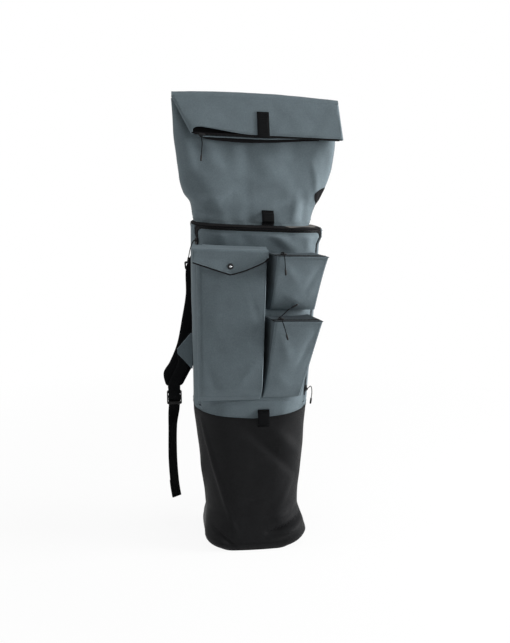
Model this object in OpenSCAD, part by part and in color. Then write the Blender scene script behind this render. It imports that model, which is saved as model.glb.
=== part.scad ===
// Tackle backpack: a roll-top bag with a black base, a front panel that opens on a zip,
// a flap pocket, two bellows pockets and shoulder straps.
// Millimetres. +Z is up, the front faces -Y, and the origin is on the floor under the middle of the rim.

/* [Bag] */
// Height of the main zip above the floor
rim_z = 698; // [600:1:800]
// Width at the main zip
rim_w = 273; // [250:1:330]
// Depth at the main zip
rim_d = 168; // [150:1:200]
// Height of the seam between the base and the grey cloth
seam_z = 305; // [250:1:350]
// Width at that seam
seam_w = 245; // [220:1:280]
// Depth at that seam
seam_d = 172; // [150:1:200]
// Corner radius of the body in plan
corner_r = 68; // [50:1:74]
// Thickness of the padded cloth
wall = 3; // [2:0.1:5]
// How far the front bows out in the middle
front_bow = 6; // [0:0.5:12]
// Tilt of the rim to the right, in degrees
slouch = 2.6; // [0:0.1:4]
// Sideways lean of the body at the seam
seam_shift = -13; // [-16:0.5:12]

/* [Base] */
// Width of the flat sole
sole_w = 150; // [140:1:190]
// Depth of the flat sole
sole_d = 146; // [110:1:155]
// Sideways shift of the sole under the body
sole_shift = -8; // [-12:0.5:12]
// Thickness of the sole
sole_t = 4; // [3:0.5:6]
// Height of the widest part of the base
foot_z = 30; // [24:1:40]
// Width of the base there
foot_w = 226; // [200:1:250]
// Depth of the base there
foot_d = 170; // [150:1:190]
// Height of the narrowest part of the base
waist_z = 85; // [70:1:110]
// Width of the base there
waist_w = 206; // [190:1:230]
// Depth of the base there
waist_d = 158; // [145:1:180]
// Thickness of the board in the base
board_t = 3; // [2:0.5:5]

/* [Collar] */
// Width of the collar at its foot
collar_foot_w = 246; // [230:1:270]
// Depth of the collar at its foot
collar_foot_d = 138; // [120:1:150]
// Sideways shift of the collar at its foot
collar_shift = -8; // [-10:0.5:10]
// Height where the collar has flared out
collar_flare_z = 806; // [790:1:840]
// Width of the collar there
collar_flare_w = 322; // [300:1:340]
// Depth of the collar there
collar_flare_d = 84; // [70:1:95]
// Height of the fold
fold_z = 958; // [920:1:990]
// Width at the fold
fold_w = 346; // [330:1:360]
// Depth of the flattened collar at the fold
fold_d = 10; // [9:0.5:14]
// Rise of the fold in its middle
fold_crown = 6; // [0:0.5:10]
// Thickness of the collar cloth
collar_wall = 2; // [1.5:0.1:2.5]

/* [Roll flap] */
// Length of the roll flap
flap_drop = 74; // [64:1:100]
// Tilt of the hanging flap, in degrees
flap_tilt = 17; // [17:0.5:24]
// How far the left edge of the flap slants in
flap_inset = 37; // [0:1:50]
// How far the right edge of the flap slants out
flap_outset = 7; // [0:1:12]

/* [Front panel] */
// Opening angle of the front panel, in degrees
panel_angle = 90; // [60:1:90]
// Angle around the corner where the zip legs run
leg_angle = 58; // [50:1:64]
// Half width of the main zip
zip_half = 10; // [8:0.5:12]

/* [Flap pocket] */
// Right edge of the flap pocket, from the middle of the front
flap_pocket_right = 11; // [0:1:12]
// How far its face stands out past its sewn left edge
flap_pocket_flare = 21; // [10:0.5:24]
// Depth of the flap pocket
flap_pocket_depth = 36; // [28:1:42]
// Height of its mouth
flap_pocket_top = 655; // [640:1:660]
// Height of the flap's sewn edge
flap_hinge_z = 668; // [664:1:672]
// Drop of the flap at its point
flap_point_drop = 51; // [44:1:60]
// Diameter of the snap cap
snap_d = 12.5; // [10:0.5:15]

/* [Bellows pockets] */
// Left edge of both bellows pockets on the panel
bellows_left = 16; // [14:1:20]
// Height of the upper pocket's mouth
upper_top = 656; // [648:1:662]
// Height of the upper pocket's foot
upper_foot = 540; // [534:1:560]
// Height of the lower pocket's mouth
lower_top = 524; // [510:1:526]
// Height of the lower pocket's foot
lower_foot = 352; // [350:1:380]
// Depth of the bellows pockets at the mouth
bellows_depth = 58; // [44:1:64]

/* [Webbing] */
// Width of the webbing
web_w = 25; // [20:1:30]
// Thickness of the webbing
web_t = 1.8; // [1.4:0.1:2.2]
// Place of the webbing tabs across the front
tab_x = 13; // [10:1:16]
// Width of the shoulder pads
pad_w = 58; // [50:1:64]
// Thickness of the shoulder pads
pad_t = 9; // [7:0.5:11]
// Width of the pad on the back
back_pad_w = 160; // [130:1:170]
// Thickness of the pad on the back
back_pad_t = 11; // [8:0.5:12]
// Half the distance between the tops of the shoulder straps
strap_spread = 70; // [64:1:76]
// How far the shoulder straps stand off the back
strap_stand = 44; // [38:1:50]
// How far the left strap flares out past the side at its end
strap_flare = 50; // [44:1:54]
// Reach of the strap wings from the body
wing_out = 33; // [28:1:36]
// Height of the strap wings along the body
wing_h = 78; // [66:1:90]
// Height of the strap wings above the base seam
wing_rise = 125; // [100:1:150]
// Length of the hanging strap tails
tail_len = 238; // [160:1:245]

/* [Pulls] */
// Diameter of the pull cords
cord_d = 1.8; // [1.5:0.1:1.9]
// Diameter of the moulded tips
tip_d = 4; // [3.4:0.1:5]
// Length of the moulded tips
tip_len = 13; // [10:0.5:16]

/* [Output] */
// Sub-part to draw

/* [Hidden] */
$fn = 48;

grey = [0.40, 0.43, 0.44];
black = [0.07, 0.07, 0.08];
dark = [0.15, 0.15, 0.16];

// Clearance between pieces that are sewn together, and between pieces that move
sewn = 0.15;
free = 1.5;
// Height of the cloth above and below the main zip
zip_top = rim_z + zip_half;
panel_top = rim_z - zip_half;
collar_foot_z = zip_top + 3;
// Zip section: half widths of the teeth and of their foot, tape and teeth lifts from the skin
tooth_w = 1.8;
tooth_foot = 2.2;
tape_low = -1.6;
tape_high = -0.6;
tooth_low = -2;
tooth_high = 0.6;
// Lift of a sheet that lies on curved cloth
laid = 0.5;
rim_growth = (rim_w - seam_w) / (rim_z - seam_z);

// Widths and depths of the body at each height
bucket_low = 0.6;
bucket_w = sole_w + 2 * (wall + sewn);
bucket_d = sole_d + 2 * (wall + sewn);
body_widths = [[bucket_low, bucket_w], [foot_z * 0.17, mix(bucket_w, foot_w, 0.42)],
    [foot_z * 0.47, mix(bucket_w, foot_w, 0.78)], [foot_z, foot_w],
    [mix(foot_z, waist_z, 0.4), mix(foot_w, waist_w, 0.35)], [waist_z, waist_w],
    [mix(waist_z, seam_z, 0.5), mix(waist_w, seam_w, 0.52)], [seam_z, seam_w],
    [rim_z, rim_w], [rim_z + 40, rim_w + 40 * rim_growth]];
body_depths = [[bucket_low, bucket_d], [foot_z * 0.17, mix(bucket_d, foot_d, 0.42)],
    [foot_z * 0.47, mix(bucket_d, foot_d, 0.78)], [foot_z, foot_d],
    [mix(foot_z, waist_z, 0.4), mix(foot_d, waist_d, 0.35)], [waist_z, waist_d],
    [mix(waist_z, seam_z, 0.5), mix(waist_d, seam_d, 0.52)], [seam_z, seam_d],
    [rim_z, rim_d]];

// Widths and depths of the collar at each height
collar_widths = [[collar_foot_z, collar_foot_w],
    [mix(collar_foot_z, collar_flare_z, 0.4), mix(collar_foot_w, collar_flare_w, 0.22)],
    [mix(collar_foot_z, collar_flare_z, 0.6), mix(collar_foot_w, collar_flare_w, 0.62)],
    [collar_flare_z, collar_flare_w],
    [mix(collar_flare_z, fold_z, 0.45), mix(collar_flare_w, fold_w, 0.5)], [fold_z, fold_w]];
collar_depths = [[collar_foot_z, collar_foot_d],
    [mix(collar_foot_z, collar_flare_z, 0.4), mix(collar_foot_d, collar_flare_d, 0.3)],
    [mix(collar_foot_z, collar_flare_z, 0.6), mix(collar_foot_d, collar_flare_d, 0.6)],
    [collar_flare_z, collar_flare_d],
    [mix(collar_flare_z, fold_z, 0.45), mix(collar_flare_d, fold_d, 0.47)], [fold_z, fold_d]];

// Small helpers
function mix(a, b, t) = a + (b - a) * t;
function unit(v) = v / norm(v);
function side(v) = v < 0 ? -1 : 1;
function steps(a, b, n) = [for (i = [0:n]) mix(a, b, i / n)];
function body_w(z) = lookup(z, body_widths);
function body_d(z) = lookup(z, body_depths);

// Lean and slouch, shared by every piece
function ramp(z) = min(1, max(0, (z - seam_z) / (rim_z - seam_z)));
function lean(z) = lookup(z, [[0, sole_shift], [foot_z, sole_shift * 0.5],
    [waist_z, mix(sole_shift, seam_shift, 0.1)], [seam_z, seam_shift], [rim_z, 0]]);
function sag(p) = [p.x + lean(p.z), p.y, p.z - p.x * tan(slouch) * ramp(p.z)];

// Point and outward normal at arc length u from the middle of the front of a rounded rectangle
function outline(u, a, b, r) =
    let (hx = a - r, hy = b - r, q = r * PI / 2, s = abs(u), k = side(u),
        f1 = (s - hx) / r * 180 / PI, f2 = (s - hx - q - 2 * hy) / r * 180 / PI,
        p = s <= hx ? [s, -b, 0, -1]
            : s <= hx + q ? [hx + r * sin(f1), -hy - r * cos(f1), sin(f1), -cos(f1)]
            : s <= hx + q + 2 * hy ? [a, s - hx - q - hy, 1, 0]
            : s <= hx + 2 * q + 2 * hy ? [hx + r * cos(f2), hy + r * sin(f2), cos(f2), sin(f2)]
            : [2 * hx + 2 * q + 2 * hy - s, b, 0, 1])
    [k * p[0], p[1], k * p[2], p[3]];
// The corners are tighter round the sole
function body_r(z) = min(corner_r, body_d(z) / 2 - 1) * lookup(z, [[0, 0.5], [waist_z, 1]]);
function half_girth(z) =
    let (r = body_r(z)) body_w(z) + body_d(z) - 4 * r + PI * r;

// Point on the body's skin at arc length u and height z, lifted off it
function skin_raw(u, z, lift = 0) =
    let (a = body_w(z) / 2, b = body_d(z) / 2, h = half_girth(z),
        o = outline(u > h ? u - 2 * h : u, a, b, body_r(z)),
        bow = o[1] < 0 ? front_bow * pow(o[0] / a, 2) * -o[1] / b : 0)
    [o[0] + lift * o[2], o[1] + bow + lift * o[3], z];
function skin(u, z, lift = 0) = sag(skin_raw(u, z, lift));
function skin_out(u, z) =
    let (o = outline(u, body_w(z) / 2, body_d(z) / 2, body_r(z))) [o[2], o[3], 0];
function leg_u(z) = body_w(z) / 2 - body_r(z) + body_r(z) * leg_angle * PI / 180;
function back_u(z) = half_girth(z) - body_w(z) / 2 + body_r(z) * 0.7;
// Arc length of the front skin at a given x
function u_at(x, z) =
    let (r = body_r(z), hx = body_w(z) / 2 - r, s = abs(x))
    side(x) * (s <= hx ? s : hx + r * asin(min(1, (s - hx) / r)) * PI / 180);

// Sideways shift of the collar, which fades out at its flare
function collar_move(z) = lookup(z, [[collar_foot_z, collar_shift], [collar_flare_z, 0]]);

// Point on the collar, with f along its flat (-1 to 1) and g round its end (0 to 1)
function collar(f, g, z, lift, back) =
    let (a = lookup(z, collar_widths) / 2, b = lookup(z, collar_depths) / 2, r = b - 0.2,
        u = side(f) * (abs(f) * (a - r) + g * (r * PI / 2 + 0.2)), o = outline(u, a, b, r),
        t = back ? -1 : 1)
    sag([t * (o[0] + lift * o[2]) + collar_move(z), t * (o[1] + lift * o[3]), z]);

// A sheet between two grids of points. Columns cross rows points outward.
module thick_sheet(outer, inner, closed = false) {
    rows = len(outer);
    cols = len(outer[0]);
    last = closed ? cols - 1 : cols - 2;
    n = rows * cols;
    top = rows - 1;
    end = cols - 1;
    quads = concat(
        [for (i = [0:rows - 2], j = [0:last]) let (a = i * cols + j, b = i * cols + (j + 1) % cols)
            [a, a + cols, b + cols, b]],
        [for (i = [0:rows - 2], j = [0:last]) let (a = n + i * cols + j, b = n + i * cols + (j + 1) % cols)
            [a, b, b + cols, a + cols]],
        [for (j = [0:last]) let (b = (j + 1) % cols) [j, b, n + b, n + j]],
        [for (j = [0:last]) let (a = top * cols + j, b = top * cols + (j + 1) % cols) [b, a, n + a, n + b]],
        closed ? [] : [for (i = [0:rows - 2]) let (a = i * cols) [a + cols, a, n + a, n + a + cols]],
        closed ? [] : [for (i = [0:rows - 2]) let (a = i * cols + end) [a, a + cols, n + a + cols, n + a]]);
    polyhedron(concat([for (row = outer) each row], [for (row = inner) each row]),
        [for (q = quads) each [[q[0], q[1], q[2]], [q[0], q[2], q[3]]]], convexity = 8);
}

// A patch of the body's skin from lift 0 inward: u and z given at column c and row r, 0 to 1
module skin_patch(cols, rows, u_of, z_of, low = -wall, high = 0, bevel = 0) {
    thick_sheet(
        [for (r = steps(0, 1, rows)) [for (c = steps(0, 1, cols))
            let (z = z_of(c, r)) skin(u_of(c, z), z, high)]],
        [for (r = steps(0, 1, rows)) [for (c = steps(0, 1, cols))
            let (z = z_of(c, r) + bevel * (1 - r)) skin(u_of(c, z), z, low)]]);
}

// Smooth route through points
function bend(p, t) = let (n = len(p) - 1, i = min(n - 1, floor(t * n)), f = t * n - i,
    a = p[max(0, i - 1)], b = p[i], c = p[i + 1], d = p[min(n, i + 2)])
    0.5 * (2 * b + (c - a) * f + (2 * a - 5 * b + 4 * c - d) * f * f + (3 * b - a - 3 * c + d) * f * f * f);
function route(p, n) = [for (t = steps(0, 1, n)) bend(p, t)];
function along(p, i) = unit(p[min(len(p) - 1, i + 1)] - p[max(0, i - 1)]);

// A strap of lens section swept along a route, with its width direction at each point
module strap(p, across, widths, thick, edge) {
    shares = [-1, -0.9, 0, 0.9, 1];
    n = len(p) - 1;
    function at(i, s, k) = let (w = unit(bend(across, i / n)), t = along(p, i), m = unit(cross(w, t)),
        h = mix(edge, bend(thick, i / n), 1 - pow(abs(s), 4)) / 2)
        p[i] + w * s * bend(widths, i / n) / 2 + m * h * k;
    thick_sheet([for (i = [0:n]) [for (s = shares) at(i, s, 1)]],
        [for (i = [0:n]) [for (s = shares) at(i, s, -1)]]);
}

// Flat webbing swept along a route
module webbing(p, across, width, thick = web_t) {
    n = len(p) - 1;
    function at(i, s, k) = let (w = unit(bend(across, i / n)), t = along(p, i), m = unit(cross(w, t)))
        p[i] + w * s * width / 2 + m * thick / 2 * k;
    thick_sheet([for (i = [0:n]) [for (s = [-1, 1]) at(i, s, 1)]],
        [for (i = [0:n]) [for (s = [-1, 1]) at(i, s, -1)]]);
}

// A round cord along a route
module cord(p, d = cord_d, sides = 8) {
    n = len(p);
    points = [for (i = [0:n - 1])
        let (t = along(p, i), a = unit(cross([0.2, 0.95, 0.24], t)), b = cross(t, a))
        for (k = [0:sides - 1]) p[i] + d / 2 * (a * cos(k * 360 / sides) + b * sin(k * 360 / sides))];
    walls = [for (i = [0:n - 2], k = [0:sides - 1]) let (a = i * sides + k, b = i * sides + (k + 1) % sides)
        each [[a, a + sides, b + sides], [a, b + sides, b]]];
    ends = concat([for (k = [1:sides - 2]) [0, k, k + 1]],
        [for (k = [1:sides - 2]) let (a = (n - 1) * sides) [a, a + k + 1, a + k]]);
    polyhedron(points, concat(walls, ends), convexity = 6);
}

// Stand a piece at p with its X along one direction and its Z outward
module stand(p, x_dir, z_dir) {
    x = unit(x_dir);
    z = unit(z_dir - (z_dir * x) * x);
    y = cross(z, x);
    multmatrix([[x.x, y.x, z.x, p.x], [x.y, y.y, z.y, p.y], [x.z, y.z, z.z, p.z], [0, 0, 0, 1]]) children();
}

module rounded(w, d, r) {
    square([w - 2 * r, d], center = true);
    square([w, d - 2 * r], center = true);
    for (sx = [-1, 1], sy = [-1, 1])
        translate([sx * (w / 2 - r), sy * (d / 2 - r)])
            circle(r);
}

// Base
bucket_cols = 40;
function bucket_ring(z, lift) = [for (k = [0:bucket_cols - 1])
    skin(k / bucket_cols * 2 * half_girth(z), z, lift)];
module sole_shape() {
    polygon([for (p = bucket_ring(bucket_low, -wall - sewn)) [p.x, p.y]]);
}

module base_sole() {
    color(black)
        linear_extrude(sole_t)
            sole_shape();
}

module base_board() {
    color(dark)
        translate([0, 0, sole_t + sewn])
            linear_extrude(board_t)
                sole_shape();
}

// Cloth heights of the bucket, closer together round the foot
bucket_rows = concat([for (row = body_widths) if (row[0] < waist_z) row[0]],
    steps(waist_z, seam_z - sewn, 2));
module base_bucket() {
    color(black)
        thick_sheet([for (z = bucket_rows) bucket_ring(z, 0)],
            [for (z = bucket_rows) bucket_ring(z, -wall)], closed = true);
}

// Hinge line of the front panel and the foot of the panel above it, cut so that it swings clear
hinge_z = seam_z + 2;
hinge_y = skin_raw(leg_u(hinge_z), hinge_z).y;
function panel_foot(u) = hinge_z + 2.5
    + max(0, hinge_y - skin_raw(u, hinge_z + 20).y) * tan(panel_angle / 2);

// The same foot for a sheet that ends w past the zip legs, at share c of its half width
function foot_line(c, w) =
    let (z = panel_foot(c * (leg_u(hinge_z) + w))) panel_foot(c * (leg_u(z) + w));

// Front panel and the cloth round it
leg_foot = hinge_z + 14;
module apron() {
    over = zip_half - sewn;
    edge = (leg_u(hinge_z) - zip_half) / (leg_u(hinge_z) + over);
    shares = concat([-1, -edge - 0.07, -edge - 0.03, -edge - 0.012], steps(-edge, edge, 22),
        [edge + 0.012, edge + 0.03, edge + 0.07, 1]);
    last = len(shares) - 1;
    function top(c) = abs(c) > edge + 0.02 ? leg_foot - free : foot_line(c, over) - free;
    color(grey)
        skin_patch(last, 2, function (c, z) shares[round(c * last)] * (leg_u(z) + over),
            function (c, r) mix(seam_z + sewn, top(shares[round(c * last)]), r));
}

module side_panel(k) {
    color(grey)
        skin_patch(12, 4, function (c, z) k > 0 ? mix(leg_u(z) + zip_half, back_u(z), c)
            : mix(-back_u(z), -leg_u(z) - zip_half, c),
            function (c, r) mix(seam_z + sewn, zip_top, r));
}

module side_panel_left() {
    side_panel(-1);
}

module side_panel_right() {
    side_panel(1);
}

module back_panel() {
    color(grey)
        skin_patch(16, 4, function (c, z) mix(back_u(z) + sewn, 2 * half_girth(z) - back_u(z) - sewn, c),
            function (c, r) mix(seam_z + sewn, zip_top, r));
}

// Pad on the back, rounded at its edges
pad_foot_gap = 35;
pad_head_gap = 58;
pad_low = seam_z + pad_foot_gap;
pad_high = rim_z - pad_head_gap;
module back_pad() {
    cols = steps(-1, 1, 12);
    rows = steps(0, 1, 8);
    function rise(c, r) = back_pad_t * (0.35 + 0.65 * (1 - pow(abs(c), 8)) * (1 - pow(abs(2 * r - 1), 10)));
    function at(c, r, on) = let (z = mix(pad_low, pad_high, r))
        skin(half_girth(z) + c * back_pad_w / 2, z, laid + (on ? rise(c, r) : 0));
    color(black)
        thick_sheet([for (r = rows) [for (c = cols) at(c, r, true)]],
            [for (r = rows) [for (c = cols) at(c, r, false)]]);
}

// Ring from the top of the body in to the foot of the collar
yoke_cols = 44;
yoke_t = 2;
module rim_yoke() {
    h = half_girth(zip_top);
    a = collar_foot_w / 2;
    b = collar_foot_d / 2;
    r = b - 0.2;
    girth = 2 * a + 2 * b - 4 * r + PI * r;
    levels = [0, 0.5, 1];
    function ring(t, low) = [for (k = [0:yoke_cols - 1])
        let (u = k / yoke_cols * 2, o = skin_raw(u * h, zip_top, -0.5),
            c = outline((u > 1 ? u - 2 : u) * girth, a - 0.5, b - 0.5, r - 0.5),
            z = mix(zip_top + sewn + yoke_t, collar_foot_z - sewn, t))
        sag([mix(o.x, c[0] + collar_shift, t), mix(o.y, c[1], t), z - low])];
    color(dark)
        thick_sheet([for (t = levels) ring(t, 0)], [for (t = levels) ring(t, yoke_t)], closed = true);
}

// Collar halves, from the yoke up to the fold
collar_rows = concat(steps(collar_foot_z, collar_flare_z, 5), [mix(collar_flare_z, fold_z, 0.22),
    mix(collar_flare_z, fold_z, 0.45), mix(collar_flare_z, fold_z, 0.72), fold_z]);
collar_cols = concat([for (g = [1, 0.8, 0.6, 0.4, 0.2]) [-1, g]], [for (f = steps(-1, 1, 8)) [f, 0]],
    [for (g = [0.2, 0.4, 0.6, 0.8, 1]) [1, g]]);
module collar_half(back) {
    color(grey)
        thick_sheet([for (z = collar_rows) [for (c = collar_cols) collar(c[0], c[1], z, 0, back)]],
            [for (z = collar_rows) [for (c = collar_cols) collar(c[0], c[1], z, -collar_wall, back)]]);
}

module collar_front() {
    collar_half(false);
}

module collar_back() {
    collar_half(true);
}

// Roll flap: a flat tube that hangs from the fold line, made upright and turned out by its tilt
fold_axis_y = -fold_d / 2 - 1.5;
fold_axis_z = fold_z + 1;
flap_near = -1.5;
flap_far = flap_near - fold_d;
function flap_left(s) = -fold_w / 2 + flap_inset * s / flap_drop;
function flap_right(s) = fold_w / 2 + flap_outset * s / flap_drop;
function hang(x, y, s) = sag([x, fold_axis_y + y * cos(flap_tilt) - s * sin(flap_tilt),
    fold_axis_z - s * cos(flap_tilt) - y * sin(flap_tilt)]);
flap_rows = steps(flap_drop, 1, 3);
flap_cols = 10;
// Section of the flap at drop s, inset by the cloth
function flap_ring(s, inset) =
    let (l = flap_left(s) + inset, r = flap_right(s) - inset, mid = (flap_near + flap_far) / 2,
        h = fold_d / 2 - inset, e = fold_d / 2)
    concat([for (x = steps(l + e, r - e, flap_cols)) hang(x, mid - h, s)],
        [for (f = [-45, 0, 45]) hang(r - e + e * cos(f), mid + h * sin(f), s)],
        [for (x = steps(r - e, l + e, flap_cols)) hang(x, mid + h, s)],
        [for (f = [135, 180, 225]) hang(l + e + e * cos(f), mid + h * sin(f), s)]);
module roll_flap() {
    color(grey)
        thick_sheet([for (s = flap_rows) flap_ring(s, 0)], [for (s = flap_rows) flap_ring(s, collar_wall)],
            closed = true);
}

// Cloth over the fold, from the back of the collar to the front of the flap
module fold_ridge() {
    big = fold_d + 1.5;
    cols = steps(fold_w / 2 - 2, -fold_w / 2 + 2, 6);
    turns = steps(4, 180 - flap_tilt - 2, 12);
    function rise(f, x) = fold_crown * (1 - pow(x / (fold_w / 2), 2)) * pow(sin(f), 2);
    function at(f, x, r) = let (q = r + rise(f, x))
        sag([x, fold_axis_y + q * cos(f), fold_axis_z + q * sin(f)]);
    color(grey)
        thick_sheet([for (f = turns) [for (x = cols) at(f, x, big)]],
            [for (f = turns) [for (x = cols) at(f, x, big - collar_wall)]]);
}

// Zip across the mouth of the flap
roll_zip_s = flap_drop + 1.8;
roll_zip_y = (flap_near + flap_far) / 2;
module roll_zip() {
    across = [[flap_far, tape_high, tape_low], [roll_zip_y - tooth_foot, tape_high, tape_low],
        [roll_zip_y - tooth_w, tooth_high, tooth_low], [roll_zip_y + tooth_w, tooth_high, tooth_low],
        [roll_zip_y + tooth_foot, tape_high, tape_low], [flap_near, tape_high, tape_low]];
    cols = steps(flap_left(flap_drop) + 8, flap_right(flap_drop) - 8, 12);
    color(black)
        thick_sheet([for (x = cols) [for (a = across) hang(x, a[0], roll_zip_s + a[1])]],
            [for (x = cols) [for (a = across) hang(x, a[0], roll_zip_s + a[2])]]);
}

// Webbing tab on the front of the flap
module roll_strap() {
    rows = [flap_drop + 6, flap_drop + 5.5, flap_drop * 0.7, flap_drop * 0.36, flap_drop * 0.34];
    cols = steps(tab_x - web_w / 2, tab_x + web_w / 2, 2);
    color(black)
        thick_sheet([for (s = rows) [for (x = cols) hang(x, flap_far - sewn - web_t, s)]],
            [for (s = rows) [for (x = cols) hang(x, flap_far - sewn, s)]]);
}

// Keepers: folded webbing sewn at both ends with a strap gap behind it
keeper_gap = 6.5;
module keeper(x, y, z, h, gap, lean_back) {
    profile = [[-h / 2, 0], [-h / 2 + 4, 0.02], [-h / 2 + 7, 0.7], [-h / 2 + 10, 1], [h / 2 - 10, 1],
        [h / 2 - 7, 0.7], [h / 2 - 4, 0.02], [h / 2, 0]];
    function at(s, p, off) = sag([x + s * web_w / 2, y - p[1] * gap - off + lean_back * p[0], z + p[0]]);
    color(black)
        thick_sheet([for (p = profile) [for (s = [-1, 0, 1]) at(s, p, web_t)]],
            [for (p = profile) [for (s = [-1, 0, 1]) at(s, p, 0)]]);
}

rim_keeper_z = collar_foot_z + 15.5;
function collar_front_y(z) = -lookup(z, collar_depths) / 2;
module rim_keeper() {
    slope = (collar_front_y(rim_keeper_z + 14) - collar_front_y(rim_keeper_z - 14)) / 28;
    keeper(tab_x + 5, collar_front_y(rim_keeper_z) - 0.6, rim_keeper_z, 30, keeper_gap, slope);
}

base_keeper_z = seam_z;
module base_keeper() {
    keeper(tab_x + 7, -seam_d / 2 - 0.6, base_keeper_z, 38, keeper_gap, 0);
}

// Main zip: two halves that part along the U of the front panel
function zip_station(k, o) =
    let (n = 12, m = 20, top = leg_u(rim_z))
    k < n ? let (z = mix(leg_foot, rim_z - 14, k / (n - 1))) [-leg_u(z) - o, z]
    : k == n ? [-top - o, rim_z + o]
    : k < n + m ? [mix(-top + 14, top - 14, (k - n - 1) / (m - 2)), rim_z + o]
    : k == n + m ? [top + o, rim_z + o]
    : let (z = mix(rim_z - 14, leg_foot, (k - n - m - 1) / (n - 1))) [leg_u(z) + o, z];
module zip_half_side(section) {
    stations = [for (k = [0:44]) k];
    function at(k, o, lift) = let (s = zip_station(k, o)) skin(s[0], s[1], lift);
    color(black)
        thick_sheet([for (k = stations) [for (s = section) at(k, s[0], s[1])]],
            [for (k = stations) [for (s = section) at(k, s[0], s[2])]]);
}

module main_zip_bag_side() {
    zip_half_side([[zip_half - sewn, tape_high, tape_low], [tooth_foot, tape_high, tape_low],
        [tooth_w, tooth_high, tooth_low], [0.3, tooth_high, tooth_low]]);
}

module main_zip_panel_side() {
    zip_half_side([[-0.3, tooth_high, tooth_low], [-tooth_w, tooth_high, tooth_low],
        [-tooth_foot, tape_high, tape_low], [-zip_half + sewn, tape_high, tape_low]]);
}

module front_panel() {
    color(grey)
        skin_patch(30, 5, function (c, z) mix(-1, 1, c) * (leg_u(z) - zip_half),
            function (c, r) mix(foot_line(mix(-1, 1, c), -zip_half), panel_top, r), bevel = 2 * wall);
}

// Pockets: a wall that leaves the panel, runs across the front and goes back to the panel
function pocket_edge(z) = leg_u(z) - zip_half - 6;
pocket_wall = 2;
corner = 7;
function pocket_path(z, l, r, xl, xr, y, inset) =
    let (a = skin_raw(l + inset, z, sewn), d = skin_raw(r - inset, z, sewn),
        b = [xl + inset, y + inset, z], c = [xr - inset, y + inset, z],
        da = min(corner, norm(a - b) * 0.45), dc = min(corner, norm(d - c) * 0.45),
        ba = unit(a - b), cd = unit(d - c), e = unit(c - b),
        wide = min(corner, norm(c - b) * 0.3))
    [for (p = concat(
        [a, mix(a, b + ba * da, 0.5), b + ba * da, b + (ba * da + e * wide) * 0.3, b + e * wide],
        [for (t = steps(0.15, 0.85, 5)) mix(b, c, t)],
        [c - e * wide, c + (cd * dc - e * wide) * 0.3, c + cd * dc, mix(d, c + cd * dc, 0.5), d])) sag(p)];
module pocket(rows, l, r, xl, xr, depth) {
    function path(z, inset) = pocket_path(z, l(z), r(z), xl(z), xr(z), -body_d(z) / 2 - depth(z), inset);
    color(grey)
        thick_sheet([for (z = rows) path(z, 0)], [for (z = rows) path(z, pocket_wall)]);
}

// Flap pocket, box shaped, closing on the panel at its foot
flap_pocket_foot = panel_foot(0) + 3;
flap_pocket_round = 42;
function flap_pocket_out(z) = let (t = min(1, (z - flap_pocket_foot) / flap_pocket_round))
    mix(pocket_wall + 1.5, flap_pocket_depth, sin(90 * t));
function flap_pocket_l(z) = -pocket_edge(z);
flap_pocket_left = skin_raw(flap_pocket_l(flap_pocket_top), flap_pocket_top).x - flap_pocket_flare;
module flap_pocket() {
    bend_top = flap_pocket_foot + flap_pocket_round;
    straight = steps(bend_top, flap_pocket_top, 5);
    pocket(concat(steps(flap_pocket_foot, bend_top, 5), [straight[1], straight[3], straight[5]]),
        function (z) flap_pocket_l(z), function (z) flap_pocket_right,
        function (z) flap_pocket_left - lean(z), function (z) flap_pocket_right,
        function (z) flap_pocket_out(z));
}

// Flap over the pocket: a straight sewn edge, a flat top and a pointed front
flap_hinge_y = -body_d(flap_hinge_z) / 2 - 2;
flap_front_y = -body_d(flap_pocket_top) / 2 - flap_pocket_depth - 2.6;
flap_t = 2;
flap_mid = (flap_pocket_left + flap_pocket_right) / 2;
flap_half = (flap_pocket_right - flap_pocket_left) / 2 + 2;
// Lower edge of the flap: pointed in the middle, rounded at the right
function flap_edge(c) = flap_hinge_z - flap_point_drop
    + (c < 0 ? abs(c) * (flap_point_drop - 28) : pow(c, 1.3) * (flap_point_drop - 20) + max(0, c - 0.9) * 40);
module pocket_flap() {
    cols = steps(-1, 1, 16);
    rows = concat([for (t = steps(0, 0.85, 4)) [0, t]], [[1, 0], [1, 0.3], [1, 0.65], [1, 1]]);
    function at(c, r, out) = let (x = flap_mid + c * flap_half, low = flap_edge(c), top = flap_hinge_z - 4)
        sag(r[0] == 0 ? [x, flap_front_y - out, mix(low, top, r[1])]
            : [x, mix(flap_front_y - out + 3, flap_hinge_y, r[1]),
                mix(top, flap_hinge_z, r[1]) + out - flap_t + 1]);
    color(grey)
        thick_sheet([for (r = rows) [for (c = cols) at(c, r, flap_t)]],
            [for (r = rows) [for (c = cols) at(c, r, 0)]]);
}

// Cloth that fills the corner between the panel and the straight edge of the flap
module pocket_hood() {
    cols = steps(skin_raw(-pocket_edge(flap_hinge_z), flap_hinge_z).x, flap_pocket_right - 30, 10);
    function at(x, t, up) = let (s = skin_raw(u_at(x, flap_hinge_z), flap_hinge_z, 1))
        sag([x, mix(flap_hinge_y + 1.6, max(s.y, flap_hinge_y + 2), t), flap_hinge_z - 1 + up]);
    color(grey)
        thick_sheet([for (t = [0, 0.5, 1]) [for (x = cols) at(x, t, 2)]],
            [for (t = [0, 0.5, 1]) [for (x = cols) at(x, t, 0)]]);
}

// Snap: a cap on the flap over a stud on the pocket
snap_x = flap_mid;
snap_z = flap_hinge_z - flap_point_drop + 15;
module snap_cap() {
    color([0.2, 0.2, 0.21])
        stand(sag([snap_x, flap_front_y - flap_t - sewn, snap_z]), tilt_x, [0, -1, 0])
            rotate_extrude()
                polygon([[0, 0], [snap_d / 2, 0], [snap_d / 2, 0.8], [snap_d / 2 - 0.8, 1.6],
                    [snap_d / 2 - 2, 1.9], [0, 2.2]]);
}

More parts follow.
